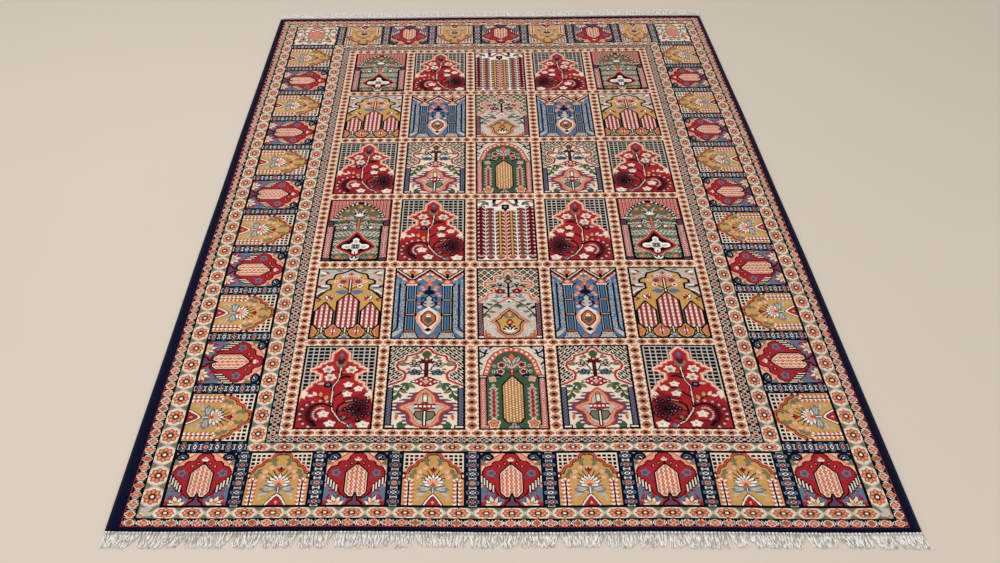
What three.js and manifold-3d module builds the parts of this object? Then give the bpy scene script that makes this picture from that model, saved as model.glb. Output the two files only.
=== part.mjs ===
// Knotted wool rug with a garden-panel design, laid flat, with cotton fringes at both ends.
// Millimetres, +Z up. X is across the rug, Y along it, and -Y is the near end.
// The origin is on the floor, at the middle of the whole rug with its fringes.

import * as THREE from 'three';
import { mergeVertices } from 'three/addons/utils/BufferGeometryUtils.js';
import Module from 'manifold-3d';

// Driving sizes
const rugWidth = 2000; // over both side bindings, at the two ends
const rugLength = 3000; // knotted length, without fringes
const pileTop = 11; // foundation and pile together
const partGap = 0.3; // between pieces that touch

// The long sides bulge a little at mid-length, the right one more
const sideBow = { left: 5, right: 10 };
const sideRipple = { size: 0.8, waves: 7 };

// The woven ends are not ruler straight
const endRipple = { size: 1.6, waves: 5 };
const farKink = { x: 60, halfWidth: 28, rise: 4 };

// Worn-down rim of the pile: how high it stands at each distance from the edge
const rimProfile = [
  { inset: 0, height: 3.2 },
  { inset: 1, height: 7.0 },
  { inset: 4, height: 9.8 },
  { inset: 11, height: pileTop },
];
const innerColumns = 12;
const innerRows = 22;

// Overcast yarn binding along each long side
const binding = { width: 9, height: 7.4, footWidth: 4.2, stations: 26 };

// Warp fringe: a woven strip at the end of the rug, and locks that lie on the floor
const strip = { depth: 7, height: 4.2, lip: 2.6 };
const fringe = { clumps: 25, locksPerClump: 5, length: 43, rootWidthShare: 0.84, tipWidthShare: 0.42 };
const lockStations = [
  { along: 0, sway: 0, height: 3.6 },
  { along: 0.5, sway: 0.38, height: 3 },
  { along: 1, sway: 1, height: 1.4 },
];
const lockRootDepth = 3; // how far a lock starts inside the strip

// How the clumps of each fringe lie: degrees of lean at the corners, the scatter of that lean,
// how far the tips of a clump draw together, and how far those of a corner clump spread
const fringeLay = {
  near: { cornerLean: 26, scatter: 5, gather: 0.82, cornerSpread: 1.1, lengthScatter: 0.07, seed: 1.7 },
  far: { cornerLean: 18, scatter: 6, gather: 0.86, cornerSpread: 1.1, lengthScatter: 0.12, seed: 4.3 },
};

const wool = { pile: 0x7c2a2e, edge: 0x1b2c58 };
const cotton = 0xe4ded2;

const halfWidth = rugWidth / 2;
const halfLength = rugLength / 2;
const bodyHalfWidth = halfWidth - binding.width - partGap;

const wasm = await Module();
wasm.setup();

// A repeatable scatter between -1 and 1 for the k-th value of item i, from the tail of a steep sine
const scatterSteps = { item: 12.9898, value: 78.233, steep: 43758.5453 };
function scatter(i, k) {
  const wave = Math.sin(i * scatterSteps.item + k * scatterSteps.value) * scatterSteps.steep;
  return 2 * (wave - Math.floor(wave)) - 1;
}

// Share of the way from the near end to the far end
function shareAlong(y) {
  return THREE.MathUtils.clamp((y + halfLength) / rugLength, 0, 1);
}

// How far a long side stands out from the straight line at this y
function bowAt(y, bow) {
  const share = shareAlong(y);
  const ripple = sideRipple.size * Math.sin(sideRipple.waves * Math.PI * share) * Math.sin(Math.PI * share);
  return bow * Math.sin(Math.PI * share) + ripple;
}

// The rug's x for a place x measured at its ends, carried out by the bow
function acrossAt(x, y) {
  const bow = x < 0 ? sideBow.left : sideBow.right;
  return x + Math.sign(x) * bowAt(y, bow) * Math.abs(x) / halfWidth;
}

// How far the woven end stands out beyond halfLength at this x
function endRise(x, far) {
  const share = (x + halfWidth) / rugWidth;
  const phase = far ? 1.1 : 0;
  const ripple = endRipple.size * Math.sin(endRipple.waves * Math.PI * share + phase);
  const kink = far ? farKink.rise * Math.exp(-(((x - farKink.x) / farKink.halfWidth) ** 2)) : 0;
  return ripple + kink;
}

// The rug's y, drawn out or in by both ends in proportion to how near they are
function alongAt(x, y) {
  const farShare = shareAlong(y);
  return y + farShare * endRise(x, true) - (1 - farShare) * endRise(x, false);
}

// Height of the pile at a distance from the nearest edge, by straight steps of the rim profile
function rimHeight(distance) {
  for (let i = 1; i < rimProfile.length; i++) {
    const low = rimProfile[i - 1];
    const high = rimProfile[i];
    if (distance <= high.inset) {
      const share = (distance - low.inset) / (high.inset - low.inset);
      return THREE.MathUtils.lerp(low.height, high.height, share);
    }
  }
  return pileTop;
}

// Distances from one edge to the other, close together at the rims
function stationsAcross(span, inner) {
  const rim = rimProfile.map((step) => step.inset);
  const last = rim[rim.length - 1];
  const stations = [...rim];
  for (let i = 1; i < inner; i++) {
    stations.push(last + ((span - 2 * last) * i) / inner);
  }
  for (const inset of [...rim].reverse()) {
    stations.push(span - inset);
  }
  return stations;
}

// Places across the body: the even ones, and three more that carry the kink
function bodyColumns() {
  const kinkPlaces = [-1, 0, 1].map((k) => farKink.x + k * farKink.halfWidth + bodyHalfWidth);
  return [...stationsAcross(2 * bodyHalfWidth, innerColumns), ...kinkPlaces].sort((a, b) => a - b);
}

function geometryFrom(points, triangles) {
  const geometry = new THREE.BufferGeometry();
  geometry.setAttribute('position', new THREE.Float32BufferAttribute(points.flat(), 3));
  geometry.setIndex(triangles.flat());
  return geometry;
}

// Closed solid through a row of rings that all have the same number of points
function loftThrough(rings) {
  const count = rings[0].length;
  const points = rings.flat();
  const triangles = [];
  for (let i = 0; i + 1 < rings.length; i++) {
    for (let j = 0; j < count; j++) {
      const next = (j + 1) % count;
      const a = i * count + j;
      const b = i * count + next;
      triangles.push([a, b, b + count], [a, b + count, a + count]);
    }
  }
  const last = (rings.length - 1) * count;
  for (let j = 1; j + 1 < count; j++) {
    triangles.push([0, j + 1, j], [last, last + j, last + j + 1]);
  }
  return geometryFrom(points, facingOut(points, triangles));
}

// The triangles, turned over if they enclose a negative volume
function facingOut(points, triangles) {
  let volume = 0;
  for (const [i, j, k] of triangles) {
    const a = new THREE.Vector3(...points[i]);
    const b = new THREE.Vector3(...points[j]);
    const c = new THREE.Vector3(...points[k]);
    volume += a.dot(b.cross(c));
  }
  return volume < 0 ? triangles.map(([i, j, k]) => [i, k, j]) : triangles;
}

// Rug body: one slab, with a flat underside and a pile that is rounded over at its rim
function rugBodyGeometry() {
  const across = bodyColumns();
  const along = stationsAcross(rugLength, innerRows);
  const columns = across.length;
  const rows = along.length;
  const points = [];
  for (const level of ['top', 'bottom']) {
    for (const v of along) {
      const yStraight = v - halfLength;
      const endDistance = Math.min(v, rugLength - v);
      for (const u of across) {
        const sideDistance = Math.min(u, 2 * bodyHalfWidth - u);
        const x = acrossAt(u - bodyHalfWidth, yStraight);
        const y = alongAt(x, yStraight);
        const z = level === 'top' ? rimHeight(Math.min(sideDistance, endDistance)) : 0;
        points.push([x, y, z]);
      }
    }
  }
  const top = (i, j) => j * columns + i;
  const bottom = (i, j) => rows * columns + j * columns + i;
  const triangles = [];
  const quad = (a, b, c, d) => triangles.push([a, b, c], [a, c, d]);
  for (let j = 0; j + 1 < rows; j++) {
    for (let i = 0; i + 1 < columns; i++) {
      quad(top(i, j), top(i + 1, j), top(i + 1, j + 1), top(i, j + 1));
      quad(bottom(i, j), bottom(i, j + 1), bottom(i + 1, j + 1), bottom(i + 1, j));
    }
    quad(bottom(0, j), top(0, j), top(0, j + 1), bottom(0, j + 1));
    quad(bottom(columns - 1, j), bottom(columns - 1, j + 1), top(columns - 1, j + 1), top(columns - 1, j));
  }
  for (let i = 0; i + 1 < columns; i++) {
    quad(bottom(i, 0), bottom(i + 1, 0), top(i + 1, 0), top(i, 0));
    quad(bottom(i, rows - 1), top(i, rows - 1), top(i + 1, rows - 1), bottom(i + 1, rows - 1));
  }
  return geometryFrom(points, triangles);
}

// Side binding: a fat cord with a flat foot, which follows the bowed side from end to end
function bindingGeometry(side) {
  const sign = side === 'left' ? -1 : 1;
  const section = [
    { out: (binding.width - binding.footWidth) / 2, height: 0 },
    { out: (binding.width + binding.footWidth) / 2, height: 0 },
    { out: binding.width, height: 0.3 * binding.height },
    { out: binding.width, height: 0.62 * binding.height },
    { out: 0.76 * binding.width, height: 0.92 * binding.height },
    { out: 0.42 * binding.width, height: binding.height },
    { out: 0.1 * binding.width, height: 0.86 * binding.height },
    { out: 0, height: 0.3 * binding.height },
  ];
  const rings = [];
  for (let i = 0; i <= binding.stations; i++) {
    const yStraight = THREE.MathUtils.lerp(-halfLength, halfLength, i / binding.stations);
    rings.push(section.map(({ out, height }) => {
      const x = acrossAt(sign * (halfWidth - binding.width + out), yStraight);
      return [x, alongAt(x, yStraight), height];
    }));
  }
  return loftThrough(rings);
}

// Woven strip that the locks grow from, parted from the rug's end
function stripRings(far) {
  const sign = far ? 1 : -1;
  const section = [
    { out: partGap, height: 0 },
    { out: strip.depth, height: 0 },
    { out: strip.depth, height: strip.lip },
    { out: 0.55 * strip.depth, height: strip.height },
    { out: partGap, height: 0.9 * strip.height },
  ];
  const rings = [];
  const places = [-halfWidth, ...bodyColumns().map((u) => u - bodyHalfWidth), halfWidth];
  for (const x of places) {
    const edge = halfLength + endRise(x, far);
    rings.push(section.map(({ out, height }) => [x, sign * (edge + out), height]));
  }
  return rings;
}

// Rings of one lock: it leaves the strip squarely, then sways over to its tip
function lockRings(rootX, tipX, length, spacing, tipSpacing, far) {
  const sign = far ? 1 : -1;
  const rootOut = strip.depth - lockRootDepth;
  return lockStations.map(({ along, sway, height }) => {
    const x = THREE.MathUtils.lerp(rootX, tipX, sway);
    const out = rootOut + along * (length + lockRootDepth);
    const y = sign * (halfLength + endRise(rootX, far) + out);
    const share = THREE.MathUtils.lerp(fringe.rootWidthShare, fringe.tipWidthShare, along);
    const width = share * THREE.MathUtils.lerp(spacing, tipSpacing, sway);
    const shoulder = 0.3 * width;
    return [
      [x - width / 2, y, 0],
      [x + width / 2, y, 0],
      [x + shoulder, y, height],
      [x - shoulder, y, height],
    ];
  });
}

// All locks of one fringe, clump by clump
function allLocks(lay, far) {
  const locks = [];
  const clumpWidth = rugWidth / fringe.clumps;
  const spacing = clumpWidth / fringe.locksPerClump;
  for (let clump = 0; clump < fringe.clumps; clump++) {
    const rootCentre = -halfWidth + (clump + 0.5) * clumpWidth;
    const lean = lay.cornerLean * rootCentre / halfWidth + lay.scatter * scatter(clump, lay.seed);
    const clumpLength = fringe.length * (1 + lay.lengthScatter * 0.5 * scatter(clump, lay.seed + 1));
    const tipCentre = rootCentre + clumpLength * Math.tan(THREE.MathUtils.degToRad(lean));
    const atCorner = clump === 0 || clump === fringe.clumps - 1;
    const tipSpacing = spacing * (atCorner ? lay.cornerSpread : lay.gather);
    for (let i = 0; i < fringe.locksPerClump; i++) {
      const place = i - (fringe.locksPerClump - 1) / 2;
      const own = clump * fringe.locksPerClump + i;
      const length = clumpLength * (1 + lay.lengthScatter * scatter(own, lay.seed + 2));
      const rootX = rootCentre + place * spacing;
      const tipX = tipCentre + place * tipSpacing;
      locks.push(lockRings(rootX, tipX, length, spacing, tipSpacing, far));
    }
  }
  return locks;
}

function toSolid(geometry) {
  const merged = mergeVertices(geometry, 1e-4);
  return new wasm.Manifold(new wasm.Mesh({
    numProp: 3,
    vertProperties: new Float32Array(merged.attributes.position.array),
    triVerts: new Uint32Array(merged.index.array),
  }));
}

function fromSolid(solid) {
  const mesh = solid.getMesh();
  const geometry = new THREE.BufferGeometry();
  geometry.setAttribute('position', new THREE.BufferAttribute(mesh.vertProperties, 3));
  geometry.setIndex(new THREE.BufferAttribute(mesh.triVerts, 1));
  return geometry;
}

// Fringe: the strip with every lock's root fused into it
function fringeGeometry(lay, far) {
  let solid = toSolid(loftThrough(stripRings(far)));
  for (const rings of allLocks(lay, far)) {
    solid = solid.add(toSolid(loftThrough(rings)));
  }
  return fromSolid(solid);
}

function clothMesh(name, geometry, color, roughness) {
  const mesh = new THREE.Mesh(geometry, new THREE.MeshStandardMaterial({ color, roughness, metalness: 0 }));
  mesh.name = name;
  return mesh;
}

const rug = new THREE.Group();
rug.name = 'rug';
rug.add(clothMesh('rug_body', rugBodyGeometry(), wool.pile, 0.95));
rug.add(clothMesh('side_binding_left', bindingGeometry('left'), wool.edge, 0.9));
rug.add(clothMesh('side_binding_right', bindingGeometry('right'), wool.edge, 0.9));
rug.add(clothMesh('fringe_near', fringeGeometry(fringeLay.near, false), cotton, 0.92));
rug.add(clothMesh('fringe_far', fringeGeometry(fringeLay.far, true), cotton, 0.92));

// The origin stands at the middle of the whole outline
const outline = new THREE.Box3().setFromObject(rug);
const middle = outline.getCenter(new THREE.Vector3());
rug.position.set(-middle.x, -middle.y, 0);

export default rug;
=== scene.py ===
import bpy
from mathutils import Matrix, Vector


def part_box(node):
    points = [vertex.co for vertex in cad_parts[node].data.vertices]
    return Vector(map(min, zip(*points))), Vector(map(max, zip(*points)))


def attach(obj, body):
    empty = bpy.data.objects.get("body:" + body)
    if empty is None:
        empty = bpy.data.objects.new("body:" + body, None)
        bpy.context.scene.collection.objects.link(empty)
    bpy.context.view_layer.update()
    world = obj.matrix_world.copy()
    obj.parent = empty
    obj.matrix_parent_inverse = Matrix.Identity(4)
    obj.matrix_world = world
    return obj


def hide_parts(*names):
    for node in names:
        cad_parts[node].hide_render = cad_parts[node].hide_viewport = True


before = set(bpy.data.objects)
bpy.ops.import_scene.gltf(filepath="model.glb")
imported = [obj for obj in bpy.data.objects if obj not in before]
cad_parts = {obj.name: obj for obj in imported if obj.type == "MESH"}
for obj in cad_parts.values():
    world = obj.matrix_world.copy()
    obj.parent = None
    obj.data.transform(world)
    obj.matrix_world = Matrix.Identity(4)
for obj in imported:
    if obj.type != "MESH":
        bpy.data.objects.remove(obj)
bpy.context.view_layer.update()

from types import SimpleNamespace
import bpy
import numpy as np
from mathutils import Matrix

# The sizes below are the CAD part's, in millimetres, with x across the rug, y along it and the near end
# at -y
rug = {"halfWidth": 1000.0, "halfLength": 1500.0, "bindingWidth": 9.0, "gap": 0.3, "backTop": 1.6}
bodyHalf = rug["halfWidth"] - rug["bindingWidth"] - rug["gap"]
rim = {"inset": (0.0, 1.0, 4.0, 11.0), "height": (3.2, 7.0, 9.8, 11.0), "evenTo": 12}
outline = {"bowLeft": 5.0, "bowRight": 10.0, "sideRipple": 0.8, "sideWaves": 7, "endRipple": 1.6,
           "endWaves": 5, "farPhase": 1.1, "kinkX": 60.0, "kinkHalf": 28.0, "kinkRise": 4.0, "flare": 3.4,
           "flareFar": 7.5, "flareFrom": 970.0, "flareOver": 20.0}


# Share of the way from the near end to the far end
def shareAlong(y):
    return np.clip((y + rug["halfLength"]) / (2 * rug["halfLength"]), 0, 1)


# A long side bulges as half a sine wave, with a small ripple on it
def acrossAt(x, y):
    share = shareAlong(y)
    bow = np.where(x < 0, outline["bowLeft"], outline["bowRight"])
    out = (bow + outline["sideRipple"]
           * np.sin(outline["sideWaves"] * np.pi * share)) * np.sin(np.pi * share)
    return x + np.sign(x) * out * abs(x) / rug["halfWidth"]


# The navy edge band is a little wider than the solid's. What it adds grows as the square of the way along
def flareAt(y):
    return outline["flare"] + outline["flareFar"] * shareAlong(y) ** 2


# The flare sets in at the inner line of that band, and is whole a little further out
def outerAt(x, y):
    reach = np.clip((abs(x) - outline["flareFrom"]) / outline["flareOver"], 0, 1)
    return acrossAt(x, y) + np.sign(x) * reach * flareAt(y)


# A woven end waves a little, and the far one has a small bump near its middle
def endRise(x, far):
    share = (x + rug["halfWidth"]) / (2 * rug["halfWidth"])
    ripple = outline["endRipple"] * np.sin(outline["endWaves"] * np.pi * share + far * outline["farPhase"])
    kink = np.exp(-(((x - outline["kinkX"]) / outline["kinkHalf"]) ** 2))
    return ripple + far * outline["kinkRise"] * kink


# Each row takes up the rise of an end in proportion to how near it lies to that end
def alongAt(x, y):
    share = shareAlong(y)
    return y + share * endRise(x, 1) - (1 - share) * endRise(x, 0)


# The CAD's origin is the middle of the whole outline, so the two frames differ by a shift in x and y
def frameShift():
    low, high = (np.array(corner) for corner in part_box("rug_body"))
    span, rows = (np.linspace(-half, half, 801) for half in (bodyHalf, rug["halfLength"]))
    left, right = acrossAt(-bodyHalf + 0 * rows, rows).min(), acrossAt(bodyHalf + 0 * rows, rows).max()
    near, far = alongAt(span, rows[0] + 0 * span).min(), alongAt(span, rows[-1] + 0 * span).max()
    return np.append((low + high)[:2] / 2 - np.array([left + right, near + far]) / 2000, 0)


shift = frameShift()

# Camera, in metres and degrees from the middle of the knotted part, worked out from the rug's corners
# in the photograph
view = {"x": -0.0923, "y": -2.9923, "z": 2.0021, "pitchDown": 38.958, "yaw": 1.5645, "roll": -1.223,
        "lens": 35.366, "shiftX": 0.0498}


def makeCamera():
    data = bpy.data.cameras.new("camera")
    data.lens, data.sensor_width, data.shift_x = view["lens"], 36, view["shiftX"]
    camera = bpy.data.objects.new("camera", data)
    bpy.context.scene.collection.objects.link(camera)
    turn = (Matrix.Rotation(np.radians(view["yaw"]), 4, "Z")
            @ Matrix.Rotation(np.radians(90 - view["pitchDown"]), 4, "X")
            @ Matrix.Rotation(np.radians(view["roll"]), 4, "Z"))
    camera.matrix_world = Matrix.Translation((view["x"] + shift[0], view["y"] + shift[1], view["z"])) @ turn
    bpy.context.scene.camera = camera


makeCamera()
print("camera made")

# Dyed yarns, as they look in daylight (sRGB), in the order of their index in the knot chart
yarnColours = {
    "navy": (0.035, 0.062, 0.165),
    "ink": (0.030, 0.025, 0.035),
    "crimson": (0.690, 0.150, 0.180),
    "coral": (0.835, 0.435, 0.315),
    "salmon": (0.945, 0.650, 0.530),
    "cream": (0.965, 0.895, 0.805),
    "white": (0.990, 0.965, 0.930),
    "stone": (0.790, 0.755, 0.705),
    "olive": (0.500, 0.475, 0.365),
    "ochre": (0.830, 0.640, 0.360),
    "gold": (0.640, 0.365, 0.215),
    "sky": (0.285, 0.465, 0.640),
    "slate": (0.390, 0.480, 0.575),
    "green": (0.255, 0.365, 0.260),
    "mauve": (0.430, 0.280, 0.385),
    "maroon": (0.340, 0.085, 0.125),
}
yarn = {name: i for i, name in enumerate(yarnColours)}


# A canvas holds one index per knot. x runs from -50 to 50 across it and y from 0 to tall, and on a folded
# canvas x is the distance from the centre line, so that each motif is drawn on both sides at once
def newCanvas(width, height, tall, ground, folded=True):
    x, y = np.meshgrid((np.arange(width) + 0.5) / width * 100 - 50,
                       (np.arange(height) + 0.5) / height * tall)
    return SimpleNamespace(x=abs(x) if folded else x, y=y,
                           knots=np.full((height, width), yarn[ground], np.uint8))


def paint(c, mask, name):
    c.knots[mask] = yarn[name]


def hasYarn(c, name):
    return c.knots == yarn[name]


# Every second knot, as on a chess board. The pitch is one knot of a panel
def secondKnots(c):
    return (c.x // 0.91 + c.y // 0.905) % 2 < 1


# Distance from every knot to the nearest point of a run of straight lines
def distanceTo(c, points):
    best = np.full(c.x.shape, 1e9)
    for (ax, ay), (bx, by) in zip(points, points[1:]):
        dx, dy = bx - ax, by - ay
        share = np.clip(((c.x - ax) * dx + (c.y - ay) * dy) / max(dx * dx + dy * dy, 1e-9), 0, 1)
        best = np.minimum(best, np.hypot(c.x - ax - share * dx, c.y - ay - share * dy))
    return best


# Distance to a closed outline, negative inside it (a knot is inside if a ray crosses the outline an odd
# number of times). A half outline is mirrored in the centre line first
def depthIn(c, points, half=True):
    loop = list(points) + ([(-x, y) for x, y in points[::-1]] if half else [])
    loop.append(loop[0])
    inside = np.zeros(c.x.shape, bool)
    for (ax, ay), (bx, by) in zip(loop, loop[1:]):
        if ay != by:
            inside ^= ((c.y < ay) != (c.y < by)) & (c.x < ax + (c.y - ay) * (bx - ax) / (by - ay))
    away = distanceTo(c, loop)
    return np.where(inside, -away, away)


# Nested bands round one outline, from the widest to the fill
def nest(c, points, bands, half=True):
    depth = depthIn(c, points, half)
    for reach, name in bands:
        paint(c, depth < reach, name)
    return depth


def line(c, points, width, name):
    paint(c, distanceTo(c, points) < width / 2, name)


# A line with a darker or lighter edge on both sides
def edgedLine(c, points, width, name, edge, edgeWidth=1.3):
    away = distanceTo(c, points)
    paint(c, away < width / 2 + edgeWidth, edge)
    paint(c, away < width / 2, name)


def inOval(c, x, y, rx, ry):
    return ((c.x - x) / rx) ** 2 + ((c.y - y) / ry) ** 2 < 1


def oval(c, x, y, rx, ry, name):
    paint(c, inOval(c, x, y, rx, ry), name)


def inBlock(c, x0, x1, y0, y1):
    return (c.x >= x0) & (c.x < x1) & (c.y >= y0) & (c.y < y1)


def block(c, x0, x1, y0, y1, name):
    paint(c, inBlock(c, x0, x1, y0, y1), name)


def lozenge(c, x, y, rx, ry, name):
    paint(c, abs(c.x - x) / rx + abs(c.y - y) / ry < 1, name)


# Flower: its rim swells and shrinks with the angle, once for each petal, round a heart and a dot
def bloom(c, x, y, radius, petals, names, turn=0.0, squash=1.0):
    dx, dy = c.x - x, (c.y - y) / squash
    away = np.hypot(dx, dy)
    reach = radius * (0.87 + 0.13 * np.cos(petals * (np.arctan2(dy, dx) - turn)))
    for share, name in zip((1.0, 0.82, 0.42, 0.2), names):
        if name:
            paint(c, away < reach * share, name)


# Pointed leaf from its base, its half width a sine of the way along
def leaf(c, x, y, length, width, angle, name, edge=None):
    a = np.radians(angle)
    along = (c.x - x) * np.cos(a) + (c.y - y) * np.sin(a)
    off = abs((c.y - y) * np.cos(a) - (c.x - x) * np.sin(a))
    reach = width / 2 * np.sin(np.pi * np.clip(along / length, 0, 1))
    if edge:
        paint(c, (off < reach + 1.2) & (along > 0) & (along < length), edge)
    paint(c, off < reach, name)


def leafFan(c, x, y, leaves, name, edge=None):
    for length, width, angle in leaves:
        leaf(c, x, y, length, width, angle, name, edge)


# Distance of each knot from the nearest line of a set at a pitch
def fromLines(place, pitch):
    return abs((place / pitch + 0.5) % 1 - 0.5) * pitch


# Straight net of lines
def grid(c, mask, pitchX, pitchY, width, name):
    away = np.minimum(fromLines(c.x, pitchX), fromLines(c.y, pitchY))
    paint(c, mask & (away < width / 2), name)


# How far each knot lies from the middle of its brick, along both axes, in a bond of bricks with these
# half sides
def inBond(c, halfX, halfY):
    column = c.x + halfX
    shiftY = halfY * (column // (2 * halfX) % 2)
    return abs(column % (2 * halfX) - halfX), abs((c.y + shiftY) % (2 * halfY) - halfY)


# Straight upright tree form: point, shoulders, waist and foot
def cypress(c, x, top, shoulder, foot, wide, fill):
    half = [(0, top), (wide * 0.45, (top + shoulder) / 2 + 1), (wide, shoulder), (wide, foot + 8),
            (wide * 0.6, foot)]
    points = [(x + dx, y) for dx, y in half] + [(x - dx, y) for dx, y in half[::-1]]
    return nest(c, points, [(2.4, "ink"), (0, fill)], half=False)


# Side column of slanted stripes between dark edges. Each stripe covers the one before over a part of
# its pitch
def twistColumn(c, low, high, edgeTop, ground, stripes):
    block(c, 40, 50, low, edgeTop, "ink")
    shaft = inBlock(c, 42, 48.4, low, high)
    paint(c, shaft, ground)
    for part, name in stripes:
        paint(c, shaft & ((c.y + 1.1 * c.x) % 5.4 < part), name)


# Flower of one yarn with a ring of five round petals on it, at an oval's distance from its middle
def fivePetals(c, x, y, ground, size, squash, petal, awayX, awayY, wide):
    bloom(c, x, y, size, 5, (ground,), 0.2, squash)
    for a in 1.257 * np.arange(5) + 0.3:
        oval(c, x + awayX * np.cos(a), y + awayY * np.sin(a), wide, 1.6, petal)


# Green arch with beads, a tree of flowers and a star pond
def archPanel(c):
    paint(c, (c.x % 5.5 < 1.9) & (c.y % 4.4 < 2.8), "stone")
    paint(c, (c.x % 5.5 > 3.4) & (c.x % 5.5 < 4.2), "salmon")
    arch = [(0, 153), (13, 148), (27, 137), (38, 119), (42, 100), (42, 0)]
    depth = nest(c, arch, [(0, "ink")])
    beads = (np.arctan2(c.y - 98, c.x) * 58 / 8.8) % 1
    paint(c, (abs(beads - 0.5) < 0.2) & (abs(depth + 2.6) < 1.7) & (c.y > 101), "white")
    inner = (depth < -5.4) & ((c.x < 35) | (c.y > 94)) & (c.x + 8 - c.y < 34) & (c.y > 4)
    paint(c, inner, "green")
    paint(c, inner & ((c.x // 1.8 + c.y // 1.8) % 2 < 1) & (c.x < 30), "olive")
    paint(c, inner & ((c.x // 1.8 + 2 * (c.y // 1.8)) % 5 < 1) & (c.y < 90), "stone")
    for y in range(12, 104, 7):
        for x in range(3, 36, 6):
            if inner[int(y * inner.shape[0] / 160), int((x + 50) * inner.shape[1] / 100)]:
                leaf(c, x + (y % 2) * 3, y, 9, 3.6, 66 - 1.4 * x, "stone" if (x + 2 * y) % 3 else "green")
    for y0, y1, reach in ((87, 103, 38), (0, 9, 35)):
        block(c, reach, 50, y0, y1, "ink")
        for y in range(y0 + 2, y1 - 2, 4):
            block(c, reach + 2, 50, y, y + 2.4, "mauve" if y % 8 else "salmon")
    block(c, 35, 50, 9, 87, "ink")
    shaft = inBlock(c, 38, 48, 9, 87)
    paint(c, shaft, "white")
    paint(c, shaft & ((c.y + 1.6 * abs(c.x - 43)) % 4.6 < 3.5), "crimson")
    paint(c, shaft & (abs(c.x - 43) < 0.6), "stone")
    for low, high in ((80, 96), (95, 110)):
        bough = [(1, low), (7, low + 1), (13, low + 6), (15, high - 5), (20, high - 2), (26, high - 4)]
        edgedLine(c, bough, 1.5, "white", "ink", 0.95)
        leafFan(c, 13, low + 5, [(11, 3.6, -6), (9, 3.4, 28)], "olive", "ink")
        leafFan(c, 15, high - 6, [(10, 3.2, 150), (9, 3.0, 110)], "stone", "ink")
    edgedLine(c, [(0, 72), (0, 108)], 3, "coral", "maroon", 1.2)
    bloom(c, 0, 119, 10, 6, ("ink", "ink"), 0.5, 0.8)
    leafFan(c, 0, 113, [(12, 3.4, 62), (12, 3.4, 90), (10, 3, 30)], "white")
    leafFan(c, 2, 124, [(13, 2.4, 48), (12, 2.6, 18)], "stone")
    leafFan(c, 8, 108, [(16, 2.4, 20), (12, 2.4, 50)], "stone")
    bloom(c, 0, 139, 7, 3, ("maroon", "coral", "ochre"), np.pi / 2)
    for x, y, size, name in ((20, 129, 5.4, "coral"), (22, 109, 6, "coral"), (30, 114, 3.6, "salmon"),
                             (25, 83, 5, "crimson"), (11, 126, 4, "crimson"), (31, 101, 3, "gold"),
                             (19, 139, 3, "gold")):
        bloom(c, x, y, size, 4, (None, name, "salmon"), 0.6)
    oval(c, 20, 84, 3, 3, "white")
    pond = [(0, 72), (6, 63), (11, 54), (20, 47), (29, 35), (20, 27), (10, 21), (4, 15), (0, 12)]
    depth = nest(c, pond, [(3.0, "salmon"), (1.6, "crimson"), (-2.0, "ink")])
    for name, *place in (("white", 0, 50, 5, 7), ("white", 0, 23, 5, 6), ("white", 13, 36, 8, 6),
                         ("white", 0, 37, 10, 10), ("stone", 12, 35, 4.4, 2.4), ("stone", 0, 48, 2.4, 4)):
        paint(c, (depth < -3.4) & inOval(c, *place), name)
    bloom(c, 0, 36, 8, 4, ("ochre", "slate", "ink", "white"), 0.78)
    line(c, [(0, 14), (0, 24)], 1.6, "crimson")
    leafFan(c, 0, 0, [(16, 7, 90), (15, 6, 48), (12, 5, 16)], "ink")
    leafFan(c, 0, 1, [(12, 3, 90), (12, 2.6, 48)], "white")
    bloom(c, 25, 10, 5.6, 4, ("olive", "coral", "ochre"), 0.78)


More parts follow.
